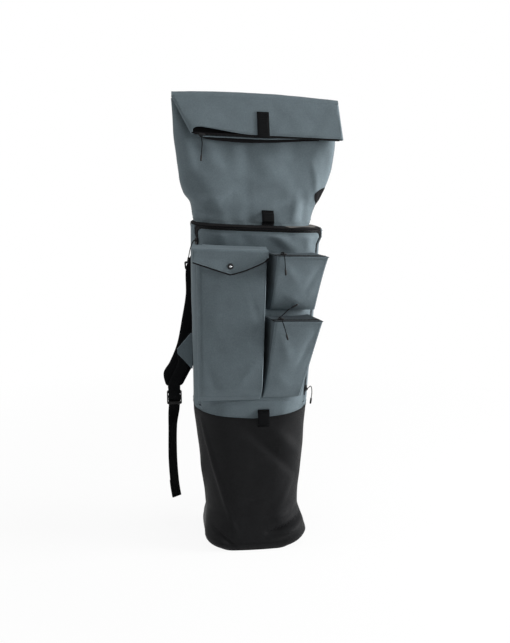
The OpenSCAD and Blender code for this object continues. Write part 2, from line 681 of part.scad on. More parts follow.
module snap_stud() {
    color([0.3, 0.3, 0.31])
        stand(sag([snap_x, -body_d(snap_z) / 2 - flap_pocket_depth - sewn, snap_z]), tilt_x, [0, -1, 0]) {
            cylinder(d = snap_d * 0.8, h = 0.8);
            cylinder(d = snap_d * 0.36, h = 1.6);
        }
}

// Bellows pockets, deep at the mouth and closing on the panel at the foot
function bellows_out(z, top, foot) =
    mix(pocket_wall + 1.5, bellows_depth, pow((z - foot) / (top - foot), 0.8));
// Right edge of the pockets on the panel, and how far the faces stand out past it
function bellows_x(z) = skin_raw(pocket_edge(z), z).x;
function upper_t(z) = (z - upper_foot) / (upper_top - upper_foot);
function lower_t(z) = (z - lower_foot) / (lower_top - lower_foot);
function upper_l(z) = bellows_left + mix(9, 11, upper_t(z));
function upper_r(z) = bellows_x(z) + mix(11, 19, upper_t(z));
function lower_l(z) = bellows_left + mix(0, 11, lower_t(z));
function lower_r(z) = bellows_x(z) + mix(-7, 18, lower_t(z));

module upper_pocket() {
    pocket(steps(upper_foot, upper_top, 6), function (z) bellows_left, function (z) pocket_edge(z),
        function (z) upper_l(z), function (z) upper_r(z),
        function (z) bellows_out(z, upper_top, upper_foot));
}

module lower_pocket() {
    pocket(steps(lower_foot, lower_top, 6), function (z) bellows_left, function (z) pocket_edge(z),
        function (z) lower_l(z), function (z) lower_r(z),
        function (z) bellows_out(z, lower_top, lower_foot));
}

// Zip sheet that lies across the mouth of a bellows pocket, between its side walls
chain_back = 13;
zip_rise = 2.2;
function mouth_y(z) = -body_d(z) / 2 - bellows_depth;
module mouth_zip(z, face_l, face_r) {
    y = mouth_y(z);
    panel_y = -body_d(z) / 2;
    chain = y + chain_back;
    rows = [[y + 1, tape_high, tape_low], [chain - tooth_foot, tape_high, tape_low],
        [chain - tooth_w, tooth_high, tooth_low], [chain + tooth_w, tooth_high, tooth_low],
        [chain + tooth_foot, tape_high, tape_low], [panel_y - 1, tape_high, tape_low]];
    // Ends of a row that lies at share t of the way from the face to the panel
    function x_at(c, t) = mix(mix(face_l, bellows_left, t) + 0.5, mix(face_r, bellows_x(z), t) - 0.5, c);
    function y_at(c, k) = k < 5 ? rows[k][0]
        : skin_raw(min(u_at(x_at(c, 1), z), pocket_edge(z)), z, 0.4).y;
    function at(c, k, lift) =
        sag([x_at(c, (rows[k][0] - y) / bellows_depth), y_at(c, k), z + zip_rise + lift]);
    cols = steps(0, 1, 12);
    color(black)
        thick_sheet([for (k = [0:5]) [for (c = cols) at(c, k, rows[k][1])]],
            [for (k = [0:5]) [for (c = cols) at(c, k, rows[k][2])]]);
}

module upper_pocket_zip() {
    mouth_zip(upper_top, upper_l(upper_top), upper_r(upper_top));
}

module lower_pocket_zip() {
    mouth_zip(lower_top, lower_l(lower_top), lower_r(lower_top));
}

// Zip slider: X along the chain, Z outward, origin on the skin over the teeth. It has a skirt on each side
// named, and on the main zip only beside the panel, so that the panel can leave the bag.
module slider(skirts = [-1, 1]) {
    color([0.12, 0.12, 0.12]) {
        translate([0, 0, 1])
            linear_extrude(1.8) {
                square([9, 8.4], center = true);
                translate([4.5, 0])
                    circle(d = 8.4);
            }
        for (k = skirts)
            translate([-4.5, k * 3.3 - 0.9, -0.2])
                cube([9, 1.8, 1.6]);
        translate([0, 0, 2.7])
            rotate([90, 0, 0])
                rotate_extrude(angle = 180)
                    translate([3.1, 0])
                        circle(0.8, $fn = 24);
    }
}

// Moulded tip along the end of a cord
module cord_tip(p) {
    color(black)
        stand(p[len(p) - 1] + along(p, len(p) - 1) * 0.1, cross([0.2, 0.95, 0.24], along(p, len(p) - 1)),
            along(p, len(p) - 1))
            rotate_extrude($fn = 24)
                polygon([[0, 0], [tip_d * 0.36, 0], [tip_d / 2, 2], [tip_d / 2, tip_len - 2],
                    [tip_d * 0.3, tip_len], [0, tip_len]]);
}

// Places of the sliders
roll_slider_x = flap_left(flap_drop) + 22;
leg_top_drop = 23;
leg_low_rise = 50;
leg_top_z = rim_z - leg_top_drop;
leg_low_z = hinge_z + leg_low_rise;
left_at = skin(-leg_u(leg_top_z), leg_top_z);
left_along = skin(-leg_u(leg_low_z), leg_low_z) - left_at;
left_out = skin_out(-leg_u(leg_top_z), leg_top_z);
right_at = skin(leg_u(leg_low_z), leg_low_z);
right_along = skin(leg_u(leg_top_z), leg_top_z) - right_at;
right_out = skin_out(leg_u(leg_low_z), leg_low_z);
flap_down = [0, -sin(flap_tilt), -cos(flap_tilt)];
tilt_x = [1, 0, -tan(slouch)];
upper_at = sag([upper_l(upper_top) + 14, mouth_y(upper_top) + chain_back, upper_top + zip_rise]);
lower_at = sag([lower_l(lower_top) + 14, mouth_y(lower_top) + chain_back, lower_top + zip_rise]);
roll_at = hang(roll_slider_x, roll_zip_y, roll_zip_s);

module roll_slider() {
    stand(roll_at, tilt_x, flap_down)
        slider();
}

module left_slider() {
    stand(left_at, left_along, left_out)
        slider([1]);
}

module right_slider() {
    stand(right_at, right_along, right_out)
        slider([1]);
}

module upper_slider() {
    stand(upper_at, [1, 0, -tan(slouch) * ramp(upper_top)], [0, 0, 1])
        slider();
}

module lower_slider() {
    stand(lower_at, [1, 0, -tan(slouch) * ramp(lower_top)], [0, 0, 1])
        slider();
}

// Cord routes, from under the bail to the tip, as steps from the slider's place
roll_steps = [[0, 1.7, -4.7], [0, -1.2, -3.8], [0, -4, -3.2], [0, -8, -7], [1, -11, -18], [0, -14, -30],
    [-1, -16, -41]];
left_steps = [[-1.8, -4.6, 0], [-3.4, -2.1, 0], [-5, 0.4, 0], [-9, 0, -4], [-13, -2, -13], [-16, -5, -24],
    [-18, -7, -34]];
right_steps = [[1.8, -4.6, 0], [3.4, -2.1, 0], [5, 0.4, 0], [8, 0.5, 2], [11, -2, 6], [13, -6, 4],
    [13.5, -9, -6], [12, -10, -18]];
upper_steps = [[0, 3, 4], [0, -2, 4], [0, -9, 4], [1, -16, 0], [2, -18, -12], [3, -18, -26]];
lower_one_steps = [[0, 0.2, 4], [0, 3, 4], [4, 8, 6], [11, 12, 11], [20, 16, 18], [28, 18, 22]];
lower_two_steps = [[0, -0.2, 4], [0, -4, 4], [0, -10, 4], [2, -16, 0], [6, -18.5, -12], [10, -18.5, -26]];
function from(at, list) = [for (p = list) at + p];
roll_route = from(roll_at, roll_steps);
left_route = from(left_at, left_steps);
right_route = from(right_at, right_steps);
upper_route = from(upper_at, upper_steps);
lower_one_route = from(lower_at, lower_one_steps);
lower_two_route = from(lower_at, lower_two_steps);
cord_rings = 12;

module roll_cord() {
    color(black)
        cord(route(roll_route, cord_rings));
}

module roll_tip() {
    cord_tip(route(roll_route, cord_rings));
}

module left_cord() {
    color(black)
        cord(route(left_route, cord_rings));
}

module left_tip() {
    cord_tip(route(left_route, cord_rings));
}

module right_cord() {
    color(black)
        cord(route(right_route, cord_rings));
}

module right_tip() {
    cord_tip(route(right_route, cord_rings));
}

module upper_cord() {
    color(black)
        cord(route(upper_route, cord_rings));
}

module upper_tip() {
    cord_tip(route(upper_route, cord_rings));
}

module lower_cord_one() {
    color(black)
        cord(route(lower_one_route, cord_rings));
}

module lower_tip_one() {
    cord_tip(route(lower_one_route, cord_rings));
}

module lower_cord_two() {
    color(black)
        cord(route(lower_two_route, cord_rings));
}

module lower_tip_two() {
    cord_tip(route(lower_two_route, cord_rings));
}

// Straps
back_y = body_d(rim_z) / 2;
strap_top_z = rim_z - 20;
strap_yoke_t = 3;
module strap_yoke() {
    rows = [strap_top_z - strap_stand * 0.5, strap_top_z + strap_stand * 0.41];
    reach = strap_spread + web_w / 2 + 13.5;
    cols = steps(-reach, reach, 16);
    color(black)
        thick_sheet([for (z = rows) [for (c = cols) skin(half_girth(z) + c, z, laid + strap_yoke_t)]],
            [for (z = rows) [for (c = cols) skin(half_girth(z) + c, z, laid)]]);
}

// Shoulder pads, from the strap yoke round behind the bag to the ladder locks
wing_z = seam_z + wing_rise;
pad_side = body_w(wing_z) / 2;
// Distance of the right wing from the middle of the back, clear of the pad there
right_x = max(pad_side * 0.71, back_pad_w / 2 + 9);
pad_end_t = 5;
pad_top_y = back_y + laid + strap_yoke_t + sewn + pad_end_t / 2;
// Height at share t of the way from the strap yoke to the wings
function pad_z(t) = mix(strap_top_z, wing_z, t);
pad_left_route = [[-strap_spread, pad_top_y, strap_top_z + 10],
    [-strap_spread - pad_w * 0.24, pad_top_y + 8, strap_top_z - 14],
    [-strap_spread - pad_w * 0.52, back_y + strap_stand * 0.82, pad_z(0.27)],
    [3 - pad_side * 0.92, back_y + strap_stand * 0.95, pad_z(0.54)],
    [3 - pad_side, back_y + strap_stand * 0.77, pad_z(0.76)],
    [-pad_side - strap_flare * 0.2, back_y + strap_stand * 0.27, wing_z + wing_h * 0.13],
    [-pad_side - strap_flare * 0.54, back_y - strap_stand * 0.5, wing_z - wing_h * 0.35],
    [-pad_side - strap_flare * 0.89, back_y - strap_stand, wing_z - wing_h * 0.67],
    [-pad_side - strap_flare, back_y - strap_stand * 1.05, wing_z - wing_h * 1.03]];
pad_left_across = [[1, 0, 0], [1, 0, 0], [1, 0, 0.1], [1, 0, 0.15], [1, 0.1, 0.15], [1, 0.25, 0.2],
    [1, 0.2, 0.1], [1, 0.05, 0], [1, 0, 0]];
pad_right_route = [[strap_spread, pad_top_y, strap_top_z + 6],
    [strap_spread + pad_w * 0.14, pad_top_y + 8, strap_top_z - 18],
    [mix(strap_spread, right_x, 0.66), back_y + strap_stand * 0.82, pad_z(0.29)],
    [mix(strap_spread, right_x, 0.86), back_y + strap_stand, pad_z(0.56)],
    [mix(strap_spread, right_x, 0.95), back_y + strap_stand * 0.95, pad_z(0.8)],
    [right_x, back_y + strap_stand * 0.86, wing_z],
    [right_x, back_y + strap_stand * 0.8, wing_z - wing_h * 0.41],
    [right_x, back_y + strap_stand * 0.75, wing_z - wing_h * 0.72],
    [right_x, back_y + strap_stand * 0.73, wing_z - wing_h * 1.03]];
pad_right_across = [[1, 0, 0], [1, 0, 0], [1, 0, -0.06], [1, 0, -0.04], [1, 0, 0], [1, 0, 0], [1, 0, 0],
    [1, 0, 0], [1, 0, 0]];
pad_widths = [web_w + 9, pad_w * 0.8, pad_w, pad_w, pad_w, pad_w, pad_w, pad_w * 0.9, web_w + 7];
pad_thicks = [pad_end_t, pad_t, pad_t, pad_t, pad_t, pad_t, pad_t, pad_t, pad_end_t];
module shoulder_pad_left() {
    color(black)
        strap(route(pad_left_route, 26), pad_left_across, pad_widths, pad_thicks, 4);
}

module shoulder_pad_right() {
    color(black)
        strap(route(pad_right_route, 26), pad_right_across, pad_widths, pad_thicks, 4);
}

// Wings that hold the lower ends of the straps, standing out from the skin at arc length u
wing_t = 4;
wing_rows = [[-0.49, 0], [-0.26, 0.52], [-0.05, 1], [0.05, 1], [0.28, 0.52], [0.51, 0]];
function wing_point(u, r, s, k) =
    let (n = skin_out(u, wing_z), t = [-n.y, n.x, 0], reach = laid + s * (3 + r[1] * (wing_out - 3)))
    skin(u, wing_z + r[0] * wing_h, reach) + t * k * wing_t / 2;
module wing(u) {
    color(grey)
        thick_sheet([for (r = wing_rows) [for (s = [0, 0.5, 1]) wing_point(u, r, s, -1)]],
            [for (r = wing_rows) [for (s = [0, 0.5, 1]) wing_point(u, r, s, 1)]]);
}

// The left wing stands out to the side, the right one lies beside the back pad
left_wing_u = leg_u(wing_z) - half_girth(wing_z) + wing_out + 9;
right_wing_u = half_girth(wing_z) - right_x + 1;
module strap_wing_left() {
    wing(left_wing_u);
}

module strap_wing_right() {
    wing(right_wing_u);
}

// Ladder lock: X across, Y through, Z up, origin in its middle
lock_w = web_w + 8;
lock_h = 32;
lock_t = 4;
bar_h = 5;
window_w = web_w + 2;
module ladder_lock() {
    color(black) {
        rotate([90, 0, 0])
            translate([0, 0, -lock_t / 2])
                linear_extrude(lock_t)
                    difference() {
                        rounded(lock_w, lock_h, 4);
                        translate([0, lock_h / 2 - bar_h - 3.5])
                            square([window_w, 7], center = true);
                        translate([0, -5])
                            square([window_w, 10], center = true);
                    }
        for (z = [-12, -14.5])
            translate([-window_w / 2, -lock_t / 2, z])
                rotate([0, 90, 0])
                    cylinder(r = 0.7, h = window_w, $fn = 24);
    }
}

lock_drop = 28;
pad_end = len(pad_widths) - 1;
lock_left = pad_left_route[pad_end] - [0, 0, lock_drop];
lock_right = pad_right_route[pad_end] - [0, 0, lock_drop];
module ladder_lock_left() {
    translate(lock_left)
        ladder_lock();
}

module ladder_lock_right() {
    translate(lock_right)
        ladder_lock();
}

// Loop of webbing from the end of a pad round the top bar of its lock
loop_y = lock_t / 2 + 0.6 + web_t / 2;
loop_end_y = pad_end_t / 2 + 0.9 + web_t / 2;
loop_low = lock_h / 2 - bar_h - 1 - web_t / 2;
loop_points = [[0, loop_end_y, lock_drop + 6], [0, loop_end_y, lock_drop - 2], [0, loop_y, lock_h / 2],
    [0, loop_y, loop_low + 2.5], [0, loop_y * 0.7, loop_low + 0.7], [0, 0, loop_low],
    [0, -loop_y * 0.7, loop_low + 0.7], [0, -loop_y, loop_low + 2.5], [0, -loop_y, lock_h / 2],
    [0, -loop_end_y, lock_drop - 2], [0, -loop_end_y, lock_drop + 6]];
module pad_loop(lock) {
    color(black)
        webbing(from(lock, loop_points), [[1, 0, 0], [1, 0, 0]], web_w);
}

module pad_loop_left() {
    pad_loop(lock_left);
}

module pad_loop_right() {
    pad_loop(lock_right);
}

// Lower webbing: from the wing, in front of the pad, back through the lock, and hanging as a tail
through = concat(lock_h * [[0, -0.28, 1.06], [0, -0.266, 0.5], [0, -0.22, 0.19], [0, -0.14, 0.03],
    [0, 0, -0.156], [0, 0.14, -0.33], [0, 0.2, -0.47], [-0.03, 0.22, -0.875]],
    tail_len * [[-0.02, 0.03, -0.3], [-0.025, 0.03, -0.6], [-0.012, 0.03, -0.85], [0.008, 0.025, -1]]);
tail_turn = [1, 0.8, 0];
// Place on the back face of a wing, near its tip
function wing_face(u, drop, gap) = let (n = skin_out(u, wing_z))
    skin(u, wing_z - drop, wing_out - web_w / 2)
    + side(u) * [-n.y, n.x, 0] * (wing_t / 2 + laid + web_t / 2 + gap);
module lower_webbing(u, lock) {
    n = side(u) * skin_out(u, wing_z);
    x = [1, 0, 0];
    points = concat([wing_face(u, -wing_h * 0.08, 0.3), wing_face(u, wing_h * 0.15, 0.8),
        wing_face(u, wing_h * 0.38, 3)], from(lock, through));
    ways = concat([n, n, n + x], [for (k = [0:len(through) - 1]) k > 8 ? tail_turn : x]);
    color(black)
        webbing(route(points, 40), ways, web_w);
}

module lower_webbing_left() {
    lower_webbing(left_wing_u, lock_left);
}

module lower_webbing_right() {
    lower_webbing(right_wing_u, lock_right);
}

// Moulded clips on the outer edges of the shoulder pads
clip_w = 15;
clip_h = 19;
clip_rim = 3.5;
module strap_clip() {
    color(black)
        rotate([90, 0, 0])
            translate([0, 0, -2])
                linear_extrude(4)
                    difference() {
                        rounded(clip_w, clip_h, clip_rim + 0.5);
                        rounded(clip_w - 2 * clip_rim, clip_h - 2 * clip_rim, clip_rim - 0.5);
                    }
}

module strap_clips() {
    reach = pad_w / 2 + clip_w / 2 + 2.5;
    stand(pad_left_route[2] - unit(pad_left_across[2]) * reach, pad_left_across[2],
        pad_left_route[3] - pad_left_route[1])
        strap_clip();
    stand(pad_right_route[2] + unit(pad_right_across[2]) * reach, pad_right_across[2],
        pad_right_route[3] - pad_right_route[1])
        strap_clip();
}

// Haul loop that hangs from the strap yoke
haul_z = strap_top_z + 6;
haul_y = back_y + laid + strap_yoke_t + 2.5;
module haul_loop() {
    arms = strap_spread * [[0.486, 0, 0], [0.457, 0.043, -0.17], [0.343, 0.17, -0.457]];
    points = concat([for (a = arms) [-a.x, a.y, a.z]], [[0, 0.23, -0.6] * strap_spread],
        [for (k = [2:-1:0]) arms[k]]);
    p = from([0, haul_y, haul_z], route(points, 24));
    function at(i, s, k) = let (t = along(p, i), w = unit(cross([0, 1, 0], t)), m = unit(cross(w, t)))
        p[i] + w * s * 5 + m * k * 1.6;
    color(black)
        thick_sheet([for (i = [0:24]) [for (s = [-1, 1]) at(i, s, 1)]],
            [for (i = [0:24]) [for (s = [-1, 1]) at(i, s, -1)]]);
}

base_sole();
base_board();
base_bucket();
apron();
side_panel_left();
side_panel_right();
back_panel();
back_pad();
rim_yoke();
collar_front();
collar_back();
fold_ridge();
main_zip_bag_side();
rim_keeper();
base_keeper();
strap_yoke();
shoulder_pad_left();
shoulder_pad_right();
strap_wing_left();
strap_wing_right();
pad_loop_left();
pad_loop_right();
lower_webbing_left();
lower_webbing_right();
ladder_lock_left();
ladder_lock_right();
strap_clips();
front_panel();
main_zip_panel_side();
flap_pocket();
pocket_hood();
snap_stud();
upper_pocket();
upper_pocket_zip();
lower_pocket();
lower_pocket_zip();
pocket_flap();
snap_cap();
roll_flap();
roll_zip();
roll_strap();
roll_slider();
roll_cord();
roll_tip();
left_slider();
left_cord();
left_tip();
right_slider();
right_cord();
right_tip();
upper_slider();
upper_cord();
upper_tip();
lower_slider();
lower_cord_one();
lower_tip_one();
lower_cord_two();
lower_tip_two();
haul_loop();
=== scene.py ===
"""Tackle backpack: cloth, webbing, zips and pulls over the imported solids. Metres, +Z up, front to -Y."""
import math

import bpy
import numpy as np
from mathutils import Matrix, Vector, noise


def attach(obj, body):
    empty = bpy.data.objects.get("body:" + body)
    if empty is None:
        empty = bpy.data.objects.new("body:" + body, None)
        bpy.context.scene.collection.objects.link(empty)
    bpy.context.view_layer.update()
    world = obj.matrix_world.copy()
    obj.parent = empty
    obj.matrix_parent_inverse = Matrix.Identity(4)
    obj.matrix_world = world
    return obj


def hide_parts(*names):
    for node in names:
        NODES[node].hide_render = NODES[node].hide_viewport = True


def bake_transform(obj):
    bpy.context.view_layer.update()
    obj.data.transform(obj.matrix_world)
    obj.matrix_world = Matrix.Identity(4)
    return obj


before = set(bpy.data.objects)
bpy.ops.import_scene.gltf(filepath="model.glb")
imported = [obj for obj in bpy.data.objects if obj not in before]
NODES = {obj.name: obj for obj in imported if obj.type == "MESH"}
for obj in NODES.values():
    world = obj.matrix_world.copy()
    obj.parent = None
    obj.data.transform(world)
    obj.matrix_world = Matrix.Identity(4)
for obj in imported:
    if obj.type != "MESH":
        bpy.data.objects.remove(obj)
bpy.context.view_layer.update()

bl_info = {
    "name": "Tackle Backpack",
    "version": (1, 0, 0),
    "blender": (4, 5, 0),
    "location": "View3D > Sidebar > Backpack",
    "description": "Dresses the backpack solids in cloth, webbing, zips and pulls",
    "category": "Object",
}

# Clearances and sections shared by the sewn pieces
SEWN = 0.00015
LAID = 0.0005
ZIP_HALF = 0.010
ZIP_TURN = 0.014
ZIP_FOOT = 0.020
ZIP_START = 0.036
ZIP_RAISE = 0.004
TAPE = 0.0030
RIM = 0.003
TOOTH_PITCH = 0.0026
STITCH_PITCH = 0.0036
THREAD_LIFT = 0.0001
# Distance of a row of stitches from the edge of its cloth
HEM = 0.003
SHARP_EDGE = math.radians(48)
# Gap between the floor and the cloth of the base, and between the collar and the roll flap at the fold
BASE_LIFT = 0.0006
FOLD_GAP = 0.0015
# Thickness of single cloth, of zip tape and of the yoke that carries the straps
CLOTH = 0.002
TAPE_T = 0.001
YOKE = 0.003
# Half width of a coil zip, drop of the roll flap's zip, and place of a pocket's zip in its mouth
COIL = 0.0017
ROLL_ZIP_DROP = 0.0018
MOUTH_RISE = 0.0022
CHAIN_IN = 0.013
FRONT = Vector((0, -1, 0))
ACROSS = Vector((1, 0, 0))
SIDES = ((-1, "left"), (1, "right"))


def property_of(kind, **settings):
    """Makes properties of one kind, each from its name, description and default."""
    def made(name, description, default):
        return kind(name=name, description=description, default=default, **settings)
    return made


NUMBER, NUMBERS = bpy.props.FloatProperty, bpy.props.FloatVectorProperty
size = property_of(NUMBER, min=0.0, unit="LENGTH", subtype="DISTANCE", precision=4)
# A sideways move, which may go either way
shift = property_of(NUMBER, unit="LENGTH", subtype="DISTANCE", precision=4)
angle = property_of(NUMBER, unit="ROTATION", subtype="ANGLE")
# Width, depth and height of one section of the bag
section = property_of(NUMBERS, size=3, unit="LENGTH", subtype="XYZ_LENGTH", precision=4)
point = property_of(NUMBERS, size=3, unit="LENGTH", subtype="XYZ_LENGTH")
power = property_of(NUMBER, unit="POWER")
colour = property_of(NUMBERS, size=3, subtype="COLOR", min=0.0, max=1.0)
millimetres = property_of(NUMBER, unit="CAMERA")
brightness = property_of(NUMBER, min=0.0)


class BackpackShape(bpy.types.PropertyGroup):
    """Sizes of the bag, as in the solids"""
    sole: section("Sole", "Width, depth and thickness of the sole", (0.150, 0.146, 0.004))
    foot: section("Foot", "Widest section of the base", (0.226, 0.170, 0.030))
    waist: section("Waist", "Narrowest section of the base", (0.206, 0.158, 0.085))
    seam: section("Seam", "Section where the base meets the grey cloth", (0.245, 0.172, 0.305))
    rim: section("Rim", "Section at the main zip", (0.273, 0.168, 0.698))
    collar_foot: section("Collar foot", "Section at the foot of the collar", (0.246, 0.138, 0.711))
    collar_flare: section("Collar flare", "Section where the collar has flared out", (0.322, 0.084, 0.806))
    fold: section("Fold", "Section at the fold of the roll top", (0.346, 0.010, 0.958))
    corner: size("Corner radius", "Corner radius of the body in plan", 0.068)
    bulge: size("Right bulge", "How far the cloth bulges to the right at the rim", 0.005)
    wall: size("Cloth", "Thickness of the padded cloth", 0.003)
    bow: size("Front bow", "How far the front bows out", 0.006)
    smile: size("Seam rise", "Rise of the base seam to the sides", 0.018)
    lean: shift("Lean", "Sideways lean at the seam", -0.013)
    sole_shift: shift("Sole shift", "Sideways shift of the sole", -0.008)
    collar_shift: shift("Collar shift", "Sideways shift of the collar at its foot", -0.008)
    slouch: angle("Slouch", "Tilt of the rim to the right", math.radians(2.6))
    leg_angle: angle("Zip leg angle", "Place of the zip legs round the corner", math.radians(58))
    crown: size("Fold crown", "Rise of the fold in its middle", 0.006)
    flap_drop: size("Roll flap", "Length of the roll flap", 0.074)
    flap_tilt: angle("Flap tilt", "Tilt of the hanging roll flap", math.radians(17))
    flap_inset: size("Flap slant", "How far the left edge of the roll flap slants in", 0.037)
    flap_outset: size("Flap reach", "How far the right edge of the roll flap slants out", 0.007)
    flap_gape: size("Flap gape", "How far the roll flap's front lip lifts at its left end", 0.013)
    webbing: size("Webbing", "Width of the webbing", 0.025)
    webbing_t: size("Webbing thickness", "Thickness of the webbing", 0.0018)
    tab: size("Tab place", "Place of the roll flap's tab from the middle", 0.013)
    pad: size("Shoulder pad", "Width of the shoulder pads", 0.058)
    pad_t: size("Pad thickness", "Thickness of the shoulder pads", 0.009)
    spread: size("Strap spread", "Half the distance between the tops of the straps", 0.070)
    stand: size("Strap stand", "How far the straps stand off the back", 0.044)
    flare: size("Strap flare", "How far the left strap flares out at its end", 0.050)
    wing: size("Wing reach", "Reach of the strap wings from the body", 0.033)
    wing_h: size("Wing height", "Height of the strap wings along the body", 0.078)
    tail: size("Strap tail", "Length of the hanging strap tails", 0.238)
    cord: size("Pull cord", "Diameter of the pull cords", 0.0018)


class BackpackColours(bpy.types.PropertyGroup):
    """Colours of the finishes"""
    grey: colour("Grey cloth", "Coated cloth of the bag", (0.118, 0.150, 0.167))
    black: colour("Black cloth", "Cloth of the base", (0.0092, 0.0095, 0.0103))
    strap: colour("Webbing", "Webbing and pads", (0.0040, 0.0043, 0.0048))
    # Pocket sides and mouths: the grey cloth darkened as painted shade
    gusset: colour("Gusset", "Shaded cloth of the pocket sides", (0.062, 0.078, 0.088))
    # The tape colour also serves the dark edging finish, which is painted shade and painted shadow too
    tape: colour("Zip tape", "Tape and edging of the main zip", (0.0095, 0.0092, 0.0100))
    lining: colour("Lining", "Mottled lining at the rim", (0.120, 0.112, 0.102))
    plastic: colour("Plastic", "Moulded fittings", (0.006, 0.006, 0.0065))
    metal: colour("Snap", "Dark metal of the snap", (0.010, 0.011, 0.012))
    # Bright metal dome in the snap's middle: a painted highlight
    dome: colour("Snap dome", "Polished middle of the snap", (0.40, 0.41, 0.42))
    slider: colour("Slider", "Painted metal of the sliders", (0.012, 0.012, 0.013))
    thread: colour("Thread", "Stitches on the grey cloth", (0.095, 0.121, 0.135))
    paper: colour("Backdrop", "Floor and backdrop", (0.92, 0.92, 0.92))


class BackpackStage(bpy.types.PropertyGroup):
    """Camera and light"""
    eye: point("Camera", "Place of the camera", (-0.2133, -1.7370, 0.842))
    target: point("Target", "Point that the camera looks at", (0.0, 0.0, 0.497))
    lens: millimetres("Lens", "Focal length of the camera", 45.9)
    right: power("Right light", "Power of the light from the right", 107.0)
    left: power("Left light", "Power of the light from the left", 16.0)
    top: power("Top light", "Power of the light from above", 22.0)
    low: power("Low light", "Power of the light from low on the right", 12.0)
    room: brightness("Room light", "Strength of the light all round", 0.165)


# Shape of the bag

def mix(a, b, t):
    return a + (b - a) * t


def side(v):
    return -1 if v < 0 else 1


def steps(a, b, n):
    return [mix(a, b, i / n) for i in range(n + 1)]


def smooth_profile(knots):
    """A smooth curve through (height, value) knots that never overshoots them."""
    x, y = np.array(knots, float).T
    h, d = np.diff(x), np.diff(y) / np.diff(x)
    m = np.concatenate([[d[0]], np.zeros(len(d) - 1), [d[-1]]])
    for i in range(1, len(d)):
        if d[i - 1] * d[i] > 0:
            a, b = 2 * h[i] + h[i - 1], h[i] + 2 * h[i - 1]
            m[i] = (a + b) / (a / d[i - 1] + b / d[i])

    def at(z):
        z = max(z, x[0])
        if z >= x[-1]:
            return float(y[-1] + m[-1] * (z - x[-1]))
        i = int(np.searchsorted(x, z, side="right")) - 1
        t = (z - x[i]) / h[i]
        return float(y[i] * (1 + 2 * t) * (1 - t) ** 2 + y[i + 1] * t * t * (3 - 2 * t)
                     + h[i] * (m[i] * t * (1 - t) ** 2 + m[i + 1] * t * t * (t - 1)))
    return at


def outline(u, a, b, r):
    """Point and outward normal at arc length u from the middle of the front of a rounded rectangle."""
    hx, hy, q, s, k = a - r, b - r, r * math.pi / 2, abs(u), side(u)
    if s <= hx:
        p = (s, -b, 0, -1)
    elif s <= hx + q:
        f = (s - hx) / r
        p = (hx + r * math.sin(f), -hy - r * math.cos(f), math.sin(f), -math.cos(f))
    elif s <= hx + q + 2 * hy:
        p = (a, s - hx - q - hy, 1, 0)
    elif s <= hx + 2 * q + 2 * hy:
        f = (s - hx - q - 2 * hy) / r
        p = (hx + r * math.cos(f), hy + r * math.sin(f), math.cos(f), math.sin(f))
    else:
        p = (2 * hx + 2 * q + 2 * hy - s, b, 0, 1)
    return k * p[0], p[1], k * p[2], p[3]


